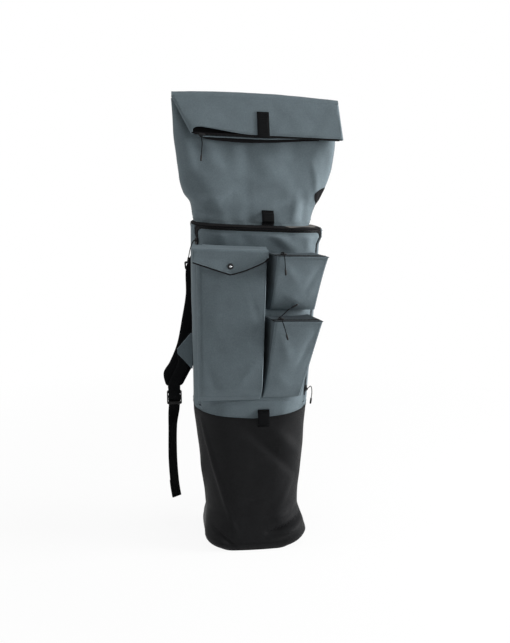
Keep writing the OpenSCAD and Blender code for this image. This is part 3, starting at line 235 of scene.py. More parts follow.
class Bag:
    """The skin that every piece lies on: a rounded rectangle that grows, leans and slouches with height."""

    def __init__(self, s):
        self.s = s
        self.seam_z, self.rim_z = s.seam[2], s.rim[2]
        self.zip_z = self.rim_z + ZIP_RAISE
        self.zip_top, self.panel_top = self.zip_z + RIM, self.zip_z - TAPE
        self.bases = [self.base_profile(s, axis) for axis in (0, 1)]
        self.collars = [self.collar_profile(s, axis) for axis in (0, 1)]
        self.fold_y = -s.fold[1] / 2 - FOLD_GAP
        self.fold_z = s.fold[2] + 0.001
        self.near, self.far = -FOLD_GAP, -FOLD_GAP - s.fold[1]
        self.hinge_z = self.seam_z + 0.002
        self.hinge_y = self.raw(self.leg(self.hinge_z), self.hinge_z).y
        self.back_y = self.depth(self.rim_z) / 2
        self.strap_z = self.rim_z - 0.020
        self.wing_z = self.seam_z + 0.125

    @staticmethod
    def base_profile(s, axis):
        low = s.sole[axis] + 2 * (s.wall + SEWN)
        foot, waist, seam = s.foot[axis], s.waist[axis], s.seam[axis]
        fz, wz, sz = s.foot[2], s.waist[2], s.seam[2]
        return smooth_profile([(BASE_LIFT, low), (fz * 0.17, mix(low, foot, 0.42)),
                               (fz * 0.47, mix(low, foot, 0.78)), (fz, foot),
                               (mix(fz, wz, 0.4), mix(foot, waist, 0.35)), (wz, waist),
                               (mix(wz, sz, 0.5), mix(waist, seam, 0.52)), (sz, seam)])

    @staticmethod
    def collar_profile(s, axis):
        foot, flare, fold = s.collar_foot, s.collar_flare, s.fold
        rising = ((0.4, 0.22, 0.3), (0.6, 0.62, 0.6))
        closing = (0.5, 0.47)
        knots = [(foot[2], foot[axis])]
        knots += [(mix(foot[2], flare[2], t), mix(foot[axis], flare[axis], k[axis])) for t, *k in rising]
        knots += [(flare[2], flare[axis]),
                  (mix(flare[2], fold[2], 0.45), mix(flare[axis], fold[axis], closing[axis])),
                  (fold[2], fold[axis])]
        return smooth_profile(knots)

    def across(self, z, axis):
        s = self.s
        if z < self.seam_z:
            return self.bases[axis](z)
        t = (z - self.seam_z) / (self.rim_z - self.seam_z)
        return mix(s.seam[axis], s.rim[axis], t if axis == 0 else min(1, t))

    def width(self, z):
        return self.across(z, 0)

    def depth(self, z):
        return self.across(z, 1)

    def radius(self, z):
        """Corner radius in plan, tighter round the sole."""
        tight = float(np.interp(z, [0, self.s.waist[2]], [0.5, 1]))
        return min(self.s.corner, self.depth(z) / 2 - 0.001) * tight

    def half_girth(self, z):
        return self.width(z) + self.depth(z) + (math.pi - 4) * self.radius(z)

    def leg(self, z):
        """Arc length of the zip legs from the middle of the front."""
        return self.width(z) / 2 - self.radius(z) + self.radius(z) * self.s.leg_angle

    def seam(self, u):
        """Height of the base seam, which rises to the sides."""
        share = min(1, abs(u) / (self.half_girth(self.seam_z) * 0.46))
        return self.seam_z + self.s.smile * share ** 1.2

    def tape(self, z):
        """Width of zip tape left bare beside a leg of the zip, covered at its foot and wider at its top."""
        foot, start, turn = self.hinge_z + ZIP_FOOT, self.hinge_z + ZIP_START, self.zip_z - ZIP_TURN
        return float(np.interp(z, [foot, foot + 0.001, start, start + 0.004, turn - 0.012, turn],
                               [ZIP_HALF, 0.0004, 0.0004, TAPE, TAPE, ZIP_HALF]))

    def panel_edge(self, z):
        """Half width of the front cloth, which follows the zip round its upper corners."""
        turn, r = self.zip_z - ZIP_TURN, ZIP_TURN - TAPE
        if z > turn:
            return self.leg(self.zip_z) - ZIP_TURN + math.sqrt(max(0, r * r - (z - turn) ** 2))
        return self.leg(z) - (TAPE if z > turn - 0.02 else self.tape(z))

    def dip(self, u, z):
        """How far the cloth sinks beside the main zip, where the sliders run over it."""
        du, dz = abs(u) - self.leg(self.zip_z) + ZIP_TURN, z - self.zip_z + ZIP_TURN
        gap = abs(u) - self.leg(z) if dz < 0 else (math.hypot(du, dz) if du > 0 else dz) - ZIP_TURN
        return -0.0008 * min(1, max(0, (0.0105 - abs(gap)) / 0.007))

    def back_edge(self, z):
        return self.half_girth(z) - self.width(z) / 2 + self.radius(z) * 0.7

    def ramp(self, z):
        return min(1, max(0, (z - self.seam_z) / (self.rim_z - self.seam_z)))

    def lean(self, z):
        low, lean = self.s.sole_shift, self.s.lean
        return float(np.interp(z, [0, self.s.foot[2], self.s.waist[2], self.seam_z, self.rim_z],
                               [low, low * 0.5, mix(low, lean, 0.1), lean, 0]))

    def sag(self, x, y, z):
        fall = x * math.tan(self.s.slouch) * self.ramp(z)
        return Vector((x + self.lean(z) + self.swell(x, z), y, z - fall))

    def swell(self, x, z):
        """Sideways bulge of the cloth at the right of the rim, above the reach of the sliders."""
        rise = z - self.rim_z
        if x < 0.06 or not -0.024 < rise < 0.012:
            return 0.0
        share = np.interp(rise, [-0.024, -0.010, 0.006, 0.012], [0, 1, 0.9, 0])
        return float(self.s.bulge * share * min(1, (x - 0.06) / 0.06) ** 2)

    def raw(self, u, z, lift=0.0):
        """Point on the skin before it leans and slouches."""
        a, b, h = self.width(z) / 2, self.depth(z) / 2, self.half_girth(z)
        x, y, nx, ny = outline(u - 2 * h if u > h else u, a, b, self.radius(z))
        bow = self.s.bow * (x / a) ** 2 * -y / b if y < 0 else 0
        return Vector((x + lift * nx, y + bow + lift * ny, z))

    def skin(self, u, z, lift=0.0):
        return self.sag(*self.raw(u, z, lift))

    def out(self, u, z):
        o = outline(u, self.width(z) / 2, self.depth(z) / 2, self.radius(z))
        return Vector((o[2], o[3], 0))

    def seam_row(self, line, lift=lambda u, z: 0):
        """Points of a row of stitches along (arc length, height), and the way out at each."""
        half = self.half_girth
        return ([self.skin(u, z, lift(u, z) + THREAD_LIFT) for u, z in line],
                [self.out(u if u < half(z) else u - 2 * half(z), z) for u, z in line])

    def u_at(self, x, z):
        """Arc length of the front skin at a given x."""
        r = self.radius(z)
        hx = self.width(z) / 2 - r
        s = abs(x)
        return side(x) * (s if s <= hx else hx + r * math.asin(min(1, (s - hx) / r)))

    def panel_foot(self, u):
        """Lower edge of the front panel, cut so that it swings clear of the apron."""
        swing = self.hinge_z + 0.0025 + max(0, self.hinge_y - self.raw(u, self.hinge_z + 0.02).y)
        return max(swing, self.seam(u) + 0.0045)

    def foot_line(self, c, over):
        z = self.panel_foot(c * (self.leg(self.hinge_z) + over))
        return self.panel_foot(c * (self.leg(z) + over))

    def collar(self, turn, z, lift=0.0):
        """Point on the collar at a share of its girth from the middle of the front."""
        a, b = self.collars[0](z) / 2, self.collars[1](z) / 2
        r = b - 0.0002
        half = 2 * a + 2 * b + (math.pi - 4) * r
        x, y, nx, ny = outline(((turn + 0.5) % 1 - 0.5) * 2 * half, a, b, r)
        return self.sag(x + lift * nx + self.collar_move(z), y + lift * ny, z)

    def collar_move(self, z):
        """Sideways shift of the collar, which fades out at its flare."""
        return float(np.interp(z, [self.s.collar_foot[2], self.s.collar_flare[2]], [self.s.collar_shift, 0]))

    def hang(self, x, y, s):
        """Point of the roll flap: y through its thickness, s down from the fold."""
        c, d = math.cos(self.s.flap_tilt), math.sin(self.s.flap_tilt)
        return self.sag(x, self.fold_y + y * c - s * d, self.fold_z - s * c - y * d)

    def flap_left(self, s):
        return -self.s.fold[0] / 2 + self.s.flap_inset * s / self.s.flap_drop

    def flap_right(self, s):
        return self.s.fold[0] / 2 + self.s.flap_outset * s / self.s.flap_drop

    def pocket_edge(self, z):
        return self.leg(z) - ZIP_HALF - 0.006


def bag(context):
    return Bag(context.scene.backpack_shape)


def ripple(p, scale, height):
    """Soft unevenness of hanging cloth."""
    return noise.noise(Vector(p) * (1 / scale)) * height


def crease(p, creases):
    """Height of the folds at p, each a ridge or a furrow (a, b, half width, height)."""
    rise = 0.0
    for (ax, ay), (bx, by), wide, high in creases:
        dx, dy = bx - ax, by - ay
        t = ((p[0] - ax) * dx + (p[1] - ay) * dy) / (dx * dx + dy * dy)
        near = min(1, max(0, t))
        gap = math.hypot(p[0] - ax - near * dx, p[1] - ay - near * dy)
        fade = math.sin(math.pi * min(1, max(0, 0.1 + 0.8 * near)))
        rise += high * fade * math.exp(-(gap / wide) ** 2)
    return rise


# Mesh builders

def finish_mesh(name, points, faces, uvs=None, slots=None):
    """A smooth mesh that is sharp only at hard edges."""
    mesh = bpy.data.meshes.new(name)
    mesh.from_pydata([tuple(p) for p in points], [], faces)
    mesh.polygons.foreach_set("use_smooth", [True] * len(mesh.polygons))
    if uvs is not None:
        layer = mesh.uv_layers.new(name="cloth")
        layer.data.foreach_set("uv", np.array(uvs, np.float32).ravel())
    if slots is not None:
        mesh.polygons.foreach_set("material_index", slots)
    mesh.set_sharp_from_angle(angle=SHARP_EDGE)
    mesh.update()
    return mesh


def shell(name, rows, thick, closed=False, slot_of=None, lining=None):
    """A sheet of cloth behind a grid of points, whose columns cross rows point outward. Its thickness is one
    value or one for each row, and lining is the slot of its inner face where that differs."""
    outer = np.array([[tuple(p) for p in row] for row in rows], float)
    count, cols = outer.shape[:2]
    if closed:
        across = np.roll(outer, -1, 1) - np.roll(outer, 1, 1)
    else:
        across = np.gradient(outer, axis=1)
    normal = np.cross(across, np.gradient(outer, axis=0))
    normal /= np.maximum(np.linalg.norm(normal, axis=2, keepdims=True), 1e-12)
    inner = outer - normal * np.reshape(thick, (-1, 1, 1))
    wrapped = np.concatenate([outer, outer[:, :1]], 1)
    over = np.linalg.norm(np.diff(wrapped, axis=1), axis=2)
    run = np.concatenate([np.zeros((count, 1)), np.cumsum(over, 1)], 1)
    run -= run[:, cols // 2:cols // 2 + 1]
    up = np.linalg.norm(np.diff(outer, axis=0), axis=2)
    rise = np.concatenate([np.zeros((1, cols)), np.cumsum(up, 0)], 0)
    rise = np.concatenate([rise, rise[:, :1]], 1)
    n, last = count * cols, cols if closed else cols - 1
    faces, uvs, slots = [], [], []

    def add(face, corners, slot=0):
        faces.append(face)
        uvs.extend((run[c], rise[c]) for c in corners)
        slots.append(slot)

    for i in range(count - 1):
        for j in range(last):
            a, b = i * cols + j, i * cols + (j + 1) % cols
            ring = [(i, j), (i, j + 1), (i + 1, j + 1), (i + 1, j)]
            slot = slot_of(i, j) if slot_of else 0
            add((a, b, b + cols, a + cols), ring, slot)
            add((n + a, n + a + cols, n + b + cols, n + b), [ring[0], ring[3], ring[2], ring[1]],
                slot if lining is None else lining)
    for j in range(last):
        k = (j + 1) % cols
        a, b = (count - 1) * cols + j, (count - 1) * cols + k
        add((k, j, n + j, n + k), [(0, j + 1), (0, j), (0, j), (0, j + 1)])
        add((a, b, n + b, n + a), [(count - 1, j), (count - 1, j + 1), (count - 1, j + 1), (count - 1, j)])
    if not closed:
        for i in range(count - 1):
            a, b = i * cols, i * cols + cols - 1
            add((a, a + cols, n + a + cols, n + a), [(i, 0), (i + 1, 0), (i + 1, 0), (i, 0)])
            add((b + cols, b, n + b, n + b + cols), [(i + 1, last), (i, last), (i, last), (i + 1, last)])
    points = np.concatenate([outer.reshape(-1, 3), inner.reshape(-1, 3)])
    return finish_mesh(name, points, faces, uvs, slots)


def join(name, parts):
    """One mesh from several lists of points and faces."""
    points, faces = [], []
    for p, f in parts:
        faces += [tuple(i + len(points) for i in face) for face in f]
        points += list(p)
    return finish_mesh(name, points, faces)


def box_part(at, x, y, z):
    """A small block round a point from three half edges, chamfered along its top."""
    top_share = 0.62
    around = ((-1, -1), (1, -1), (1, 1), (-1, 1))
    corners = [at + x * sx + y * sy - z for sx, sy in around]
    corners += [at + x * sx + y * sy + z * 0.3 for sx, sy in around]
    corners += [at + x * sx * top_share + y * sy * top_share + z for sx, sy in around]
    faces = [(3, 2, 1, 0), (8, 9, 10, 11)]
    for base in (0, 4):
        faces += [(base + i, base + (i + 1) % 4, base + 4 + (i + 1) % 4, base + 4 + i) for i in range(4)]
    return corners, faces


def evenly(points, pitch):
    """Points at an even pitch along a line, with the direction at each."""
    p = np.array([tuple(q) for q in points])
    run = np.concatenate([[0], np.cumsum(np.linalg.norm(np.diff(p, axis=0), axis=1))])
    count = max(2, int(run[-1] / pitch))
    at = np.linspace(pitch / 2, run[-1] - pitch / 2, count)
    behind, places, ahead = (np.stack([np.interp(at + move, run, p[:, k]) for k in range(3)], 1)
                             for move in (-pitch / 2, 0, pitch / 2))
    return [(Vector(q), (Vector(f) - Vector(e)).normalized(), s)
            for q, f, e, s in zip(places, ahead, behind, at / run[-1])]


def along(points, outs, pitch):
    """Places at an even pitch along a line, each with its direction, the way across and the way out."""
    for at, t, s in evenly(points, pitch):
        z = Vector(outs[min(len(outs) - 1, int(s * len(outs)))]).normalized()
        yield at, t, z.cross(t).normalized(), z


def stitches(lines):
    """Rows of stitches, each row a line of points with the outward direction at its points."""
    thread = 0.0003
    return [box_part(at + z * 0.0002, t * STITCH_PITCH * 0.36, y * thread, z * thread)
            for points, outs in lines for at, t, y, z in along(points, outs, STITCH_PITCH)]


def zip_teeth(points, outs, reach):
    """Coil teeth along a line; reach is how far each one stands to the side."""
    return [box_part(at + y * reach / 2, t * TOOTH_PITCH * 0.34, y * abs(reach) / 2, z * 0.0012)
            for at, t, y, z in along(points, outs, TOOTH_PITCH)]


def coil(points, out):
    """Both rows of teeth of a closed zip."""
    return zip_teeth(points, [out], COIL) + zip_teeth(points, [out], -COIL)


def bend(p, t):
    """Point at share t of a smooth route through points."""
    n = len(p) - 1
    i = min(n - 1, int(t * n))
    f = t * n - i
    a, b, c, d = (Vector(p[k]) for k in (max(0, i - 1), i, i + 1, min(n, i + 2)))
    square, cube = 2 * a - 5 * b + 4 * c - d, 3 * b - a - 3 * c + d
    return 0.5 * (2 * b + (c - a) * f + square * f ** 2 + cube * f ** 3)


def route(p, n):
    return [bend(p, t) for t in steps(0, 1, n)]


def sweep(name, points, across, profile):
    """A strap swept along a route: profile(t) gives (across, through) pairs round its section at share t."""
    n = len(points) - 1
    rings = []
    for i, at in enumerate(points):
        t = (points[min(n, i + 1)] - points[max(0, i - 1)]).normalized()
        w = bend(across, i / n).normalized()
        m = w.cross(t).normalized()
        rings.append([at + w * a + m * h for a, h in profile(i / n)])
    count, cols = len(rings), len(rings[0])
    length = [0.0]
    for i in range(1, count):
        length.append(length[-1] + (points[i] - points[i - 1]).length)
    girth = [0.0]
    for j in range(cols):
        girth.append(girth[-1] + (rings[0][(j + 1) % cols] - rings[0][j]).length)
    faces, uvs = [], []
    for i in range(count - 1):
        for j in range(cols):
            a, b = i * cols + j, i * cols + (j + 1) % cols
            faces.append((a, a + cols, b + cols, b))
            uvs += [(girth[j], length[i]), (girth[j], length[i + 1]), (girth[j + 1], length[i + 1]),
                    (girth[j + 1], length[i])]
    for cap, k in ((list(range(cols)), 0), ([(count - 1) * cols + j for j in range(cols)][::-1], count - 1)):
        faces.append(tuple(cap))
        uvs += [(girth[j], length[k]) for j in range(cols)]
    return finish_mesh(name, [p for ring in rings for p in ring], faces, uvs)


def flat_section(width, thick):
    """Section of webbing, with rounded edges."""
    h, r = thick / 2, thick * 0.42
    half = [(width / 2 - r, -h), (width / 2 - r * 0.3, -h * 0.7), (width / 2, 0),
            (width / 2 - r * 0.3, h * 0.7), (width / 2 - r, h)]
    inner = [(width * k, h) for k in (0.25, 0, -0.25)]
    left = [(-a, b) for a, b in half[::-1]]
    lower = [(-width * k, -h) for k in (0.25, 0, -0.25)]
    loop = half + inner + left + lower
    return loop[::-1]


def tube(points, radius, sides=8):
    """A round binding along a line, as points and faces."""
    n = len(points)
    verts, faces = [], []
    for i, at in enumerate(points):
        t = (points[min(n - 1, i + 1)] - points[max(0, i - 1)]).normalized()
        a = Vector((0.21, 0.95, 0.24)).cross(t).normalized()
        b = t.cross(a)
        for k in range(sides):
            f = 2 * math.pi * k / sides
            verts.append(at + radius * (a * math.cos(f) + b * math.sin(f)))
    for i in range(n - 1):
        for k in range(sides):
            c, d = i * sides + k, i * sides + (k + 1) % sides
            faces.append((c, d, d + sides, c + sides))
    faces += [tuple(range(sides))[::-1], tuple((n - 1) * sides + k for k in range(sides))]
    return verts, faces


def link(data, finishes=()):
    """A new object in the scene, with its finishes."""
    obj = bpy.data.objects.new(data.name, data)
    bpy.context.scene.collection.objects.link(obj)
    for name in finishes:
        data.materials.append(finish(name))
    return obj


def place(mesh, body, finishes, nodes=()):
    """Link a piece, let it ride on a body and stand for the solids that it covers."""
    obj = link(mesh, finishes)
    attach(obj, body)
    if nodes:
        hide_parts(*nodes)
    return obj


def cloth(name, rows, thick, nodes=(), body="bag", finishes=("coated_grey",), slot="grey_cloth", **how):
    """Place a sheet of cloth."""
    return place(shell(name, rows, thick, **how), body, finishes, nodes)


def sew(name, rows, body="bag", thread="grey_thread"):
    """Place rows of stitches as one piece."""
    return place(join(name, stitches(rows)), body, [thread])


def bind(name, lines, radius, material, body="bag"):
    """Place round bindings along lines as one piece."""
    return place(join(name, [tube(line, radius) for line in lines]), body, [material])


def teeth(name, parts, body):
    """Place rows of zip teeth as one piece."""
    return place(join(name, parts), body, ["zip_coil"])


def belt(name, line, ways, wide, thick, nodes=(), body="bag"):
    """Place webbing that is swept along a line. Its width is one value or a function of the share."""
    def profile(t):
        return flat_section(wide(t) if callable(wide) else wide, thick)
    return place(sweep(name, line, ways, profile), body, ["ribbed_webbing"], nodes)


# Finishes

def node(tree, kind, **values):
    """A shader node with its settings; a value that is a socket is linked to the input of that name."""
    n = tree.nodes.new(kind)
    for key, value in values.items():
        if hasattr(n, key):
            setattr(n, key, value)
        elif isinstance(value, bpy.types.NodeSocket):
            tree.links.new(value, n.inputs[key])
        else:
            n.inputs[key.replace("_", " ")].default_value = value
    return n


def coordinates(tree, kind="Object"):
    """Place on the piece, in its own axes unless another kind is asked for."""
    return node(tree, "ShaderNodeTexCoord").outputs[kind]


def noise_of(tree, where, scale, **values):
    """Grey value of a noise texture."""
    return node(tree, "ShaderNodeTexNoise", Vector=where, Scale=scale, **values).outputs["Fac"]


def new_finish(name, base, spread, rough, grain=0.03, heather=0.0, wear=0.1):
    """A principled finish whose colour and roughness drift over the piece, with a fine mottle where heather
    is set and paler edges where wear is. Returns it with its tree and shader."""
    m = bpy.data.materials.new(name)
    m.use_nodes = True
    t = m.node_tree
    shader = t.nodes["Principled BSDF"]
    where = coordinates(t)
    drift = noise_of(t, where, 1 / grain, Detail=5.0, Roughness=0.6)
    ramp = node(t, "ShaderNodeValToRGB", Fac=drift)
    ramp.color_ramp.elements[0].position, ramp.color_ramp.elements[1].position = 0.3, 0.7
    for element, k in zip(ramp.color_ramp.elements, (1 - spread, 1 + spread)):
        element.color = [c * k for c in base] + [1]
    worn = node(t, "ShaderNodeNewGeometry").outputs["Pointiness"]
    edge = node(t, "ShaderNodeMapRange", Value=worn, From_Min=0.52, From_Max=0.62, To_Min=0.0, To_Max=wear)
    rub = node(t, "ShaderNodeMix", data_type="RGBA")
    rub.inputs[7].default_value = [min(1, c * 1.7 + 0.004) for c in base] + [1]
    t.links.new(edge.outputs["Result"], rub.inputs[0])
    t.links.new(ramp.outputs["Color"], rub.inputs[6])
    mottle = noise_of(t, where, 420.0, Detail=2.0)
    level = node(t, "ShaderNodeMapRange", Value=mottle, From_Min=0.3, From_Max=0.7, To_Min=1 - heather,
                 To_Max=1 + heather)
    tint = node(t, "ShaderNodeVectorMath", operation="SCALE", Vector=rub.outputs[2],
                Scale=level.outputs["Result"])
    t.links.new(tint.outputs["Vector"], shader.inputs["Base Color"])
    gloss = node(t, "ShaderNodeMapRange", Value=drift, To_Min=rough[0], To_Max=rough[1])
    t.links.new(gloss.outputs["Result"], shader.inputs["Roughness"])
    return m, t, shader


def relief(t, shader, height, strength, distance, **under):
    """Give a finish a relief, over another one where that is given as Normal."""
    bump = node(t, "ShaderNodeBump", Height=height, Strength=strength, Distance=distance, **under)
    t.links.new(bump.outputs["Normal"], shader.inputs["Normal"])


def wave(t, where, direction, pitch):
    """Even ribs at a pitch."""
    scale = 2 * math.pi / (20 * pitch)
    return node(t, "ShaderNodeTexWave", bands_direction=direction, Vector=where, Scale=scale).outputs["Fac"]


def woven(t, shader, pitch, depth, grain, coords="UV", ribs=False):
    """Over and under threads, and the fine crumple of coated cloth, as relief."""
    where = coordinates(t, coords)
    threads = node(t, "ShaderNodeMath", operation="ADD" if ribs else "MULTIPLY")
    t.links.new(wave(t, where, "X", pitch), threads.inputs[0])
    t.links.new(wave(t, where, "Y", pitch * (3 if ribs else 1)), threads.inputs[1])
    crumple = noise_of(t, coordinates(t), 1 / grain, Detail=6.0, Roughness=0.55)
    soft = node(t, "ShaderNodeBump", Height=crumple, Strength=0.35, Distance=0.0012)
    relief(t, shader, threads.outputs[0], 0.5, depth, Normal=soft.outputs["Normal"])


def cloth_finish(name, base, pitch, rough, gloss, grain=0.02, coords="UV", ribs=False, depth=0.0002,
                 spread=0.06, heather=0.0):
    """Woven cloth, webbing, cord or thread."""
    m, t, shader = new_finish(name, base, spread, rough, heather=heather)
    woven(t, shader, pitch, depth, grain, coords, ribs)
    shader.inputs["Sheen Weight"].default_value = gloss * 0.15
    shader.inputs["Sheen Roughness"].default_value = 0.5
    shader.inputs["Specular IOR Level"].default_value = gloss
    return m


def mesh_finish(name, base):
    """Open spacer mesh of the pads."""
    m, t, shader = new_finish(name, base, 0.1, (0.75, 0.9))
    cells = node(t, "ShaderNodeTexVoronoi", Vector=coordinates(t, "UV"), Scale=420.0)
    relief(t, shader, cells.outputs["Distance"], 0.8, 0.0006)
    shader.inputs["Specular IOR Level"].default_value = 0.05
    return m


def hard_finish(name, base, rough, metal, grain):
    """Moulded or painted fittings, with a fine grain."""
    m, t, shader = new_finish(name, base, 0.12, rough, grain, wear=0.4)
    relief(t, shader, noise_of(t, coordinates(t), 2500.0, Detail=3.0), 0.25, 0.0001)
    shader.inputs["Metallic"].default_value = metal
    shader.inputs["Specular IOR Level"].default_value = 0.2
    return m


# Cloth finishes: colour, pitch of the threads, range of roughness, gloss, and what sets each one apart
CLOTHS = {
    "coated_grey": ("grey", 0.0009, (0.6, 0.76), 0.12, {"heather": 0.09}),
    "coated_black": ("black", 0.0010, (0.42, 0.58), 0.07, {"spread": 0.12, "heather": 0.16}),
    # The pocket sides' finish is painted shade, a darker grey than the cloth
    "gusset_cloth": ("gusset", 0.0009, (0.7, 0.85), 0.08, {"spread": 0.1}),
    # Dark edging of the rim yoke, also painted shade on the collar's tuck and the flaps' inner faces, and
    # painted shadow under the flaps
    "dark_edging": ("tape", 0.0009, (0.7, 0.85), 0.04, {"spread": 0.1}),
    "lining": ("lining", 0.0008, (0.6, 0.8), 0.15, {"grain": 0.006, "spread": 0.45}),
    "ribbed_webbing": ("strap", 0.0013, (0.55, 0.75), 0.04, {"ribs": True, "depth": 0.0005, "spread": 0.15}),
    "woven_tape": ("tape", 0.0007, (0.7, 0.85), 0.05, {"ribs": True}),
    "braided_cord": ("strap", 0.0007, (0.6, 0.8), 0.06, {"coords": "Object", "depth": 0.0003}),
    "grey_thread": ("thread", 0.0004, (0.5, 0.7), 0.15, {"coords": "Object"}),
    "black_thread": ("strap", 0.0004, (0.5, 0.7), 0.1, {"coords": "Object"}),
}
# Hard finishes: colour, range of roughness, metal or not, size of the grain
FITTINGS = {
    "zip_coil": ("strap", (0.35, 0.5), 0.0, 0.01),
    "moulded_plastic": ("plastic", (0.38, 0.55), 0.0, 0.01),
    "dark_snap": ("metal", (0.4, 0.55), 0.0, 0.004),
    # Painted highlight of the snap, a bright metal dome
    "polished_snap": ("dome", (0.2, 0.32), 1.0, 0.004),
    "black_slider": ("slider", (0.3, 0.5), 0.0, 0.004),
    "moulded_sole": ("plastic", (0.7, 0.9), 0.0, 0.02),
}


def finish(name):
    """A finish by its name, made the first time that it is asked for."""
    if name in bpy.data.materials:
        return bpy.data.materials[name]
    colours = bpy.context.scene.backpack_colours
    if name in CLOTHS:
        base, pitch, rough, gloss, apart = CLOTHS[name]
        return cloth_finish(name, getattr(colours, base), pitch, rough, gloss, **apart)
    if name in FITTINGS:
        base, rough, metal, grain = FITTINGS[name]
        return hard_finish(name, getattr(colours, base), rough, metal, grain)
    return mesh_finish(name, colours.strap)


def paint(name, material):
    """Give a solid that stays in view its finish."""
    mesh = NODES[name].data
    mesh.materials.clear()
    mesh.materials.append(finish(material))


class Dress:
    """Shared by the operators: each one makes a group of like pieces."""
    bl_options = {"REGISTER"}


class BACKPACK_OT_base(Dress, bpy.types.Operator):
    """Black cloth bucket with its creases, seam binding and sole"""
    bl_idname = "backpack.base"
    bl_label = "Base"

    # Folds in arc length and height: from, to, half width, height
    folds = (((-0.120, 0.300), (-0.044, 0.040), 0.006, 0.0038),
             ((-0.027, 0.291), (0.100, 0.165), 0.011, -0.0040),
             ((0.030, 0.285), (0.115, 0.200), 0.016, 0.0050),
             ((0.022, 0.041), (0.125, 0.068), 0.0042, -0.0095),
             ((0.030, 0.065), (0.100, 0.092), 0.010, 0.0040),
             ((0.030, 0.030), (0.125, 0.054), 0.008, 0.0050),
             ((-0.100, 0.054), (-0.038, 0.007), 0.005, -0.0058),
             ((-0.020, 0.114), (0.012, 0.114), 0.005, -0.0020),
             ((0.085, 0.160), (0.045, 0.085), 0.010, 0.0024),
             ((-0.13, 0.22), (-0.15, 0.07), 0.014, 0.0022),
             ((0.16, 0.24), (0.14, 0.09), 0.014, -0.0020),
             ((0.25, 0.22), (0.32, 0.10), 0.016, 0.0025),
             ((-0.24, 0.2), (-0.33, 0.12), 0.016, -0.0022))
    # Height of the turn from the sole to the wall, start of the even rows above it, and height of the hem
    turn_z, wall_z, hem_z = 0.03, 0.0325, 0.018

    def execute(self, context):
        b = bag(context)
        cols, top, sink = 240, b.seam_z - SEWN, 0.0006
        heights = [BASE_LIFT + (self.turn_z - BASE_LIFT) * t * t for t in steps(0, 1, 14)]
        heights += steps(self.wall_z, top, 108)

        def rise(share, z):
            """Arc length and height at a share of half the girth, drawn up to the seam."""
            up = max(0, (z - b.s.waist[2]) / (top - b.s.waist[2])) ** 2
            z += up * (b.seam(share * b.half_girth(b.seam_z)) - b.seam_z)
            return share * b.half_girth(z), z

        def at(k, z):
            calm = min(1, z / 0.02) * min(1, max(0, (top - z) / 0.02))
            u, z = rise((2 * k / cols + 1) % 2 - 1, z)
            lift = crease((u, z), self.folds) + ripple((u, z, 0.3), 0.05, 0.0014)
            return b.skin(u, z, lift * calm - sink * calm)
        rows = [[at(k, z) for k in range(cols)] for z in heights]
        cloth("base_cloth", rows, b.s.wall, ["base_bucket"], "bag", ["coated_black"], "black_cloth",
              closed=True)

        def girth(z, lift):
            return [b.skin(*rise(share, z), lift) for share in steps(-1, 1, 160)]
        half = b.half_girth(b.seam_z)
        outs = [b.out(u, b.seam_z) for u in steps(-half, half, 160)]
        hems = [(girth(z, THREAD_LIFT), outs) for z in (top - HEM, self.hem_z)]
        sew("base_stitches", hems, thread="black_thread")
        bind("sole_welt", [girth(0.0022, -0.0006)], 0.0016, "coated_black")
        for name, material in (("base_sole", "moulded_sole"), ("base_board", "moulded_plastic")):
            paint(name, material)
        return {"FINISHED"}


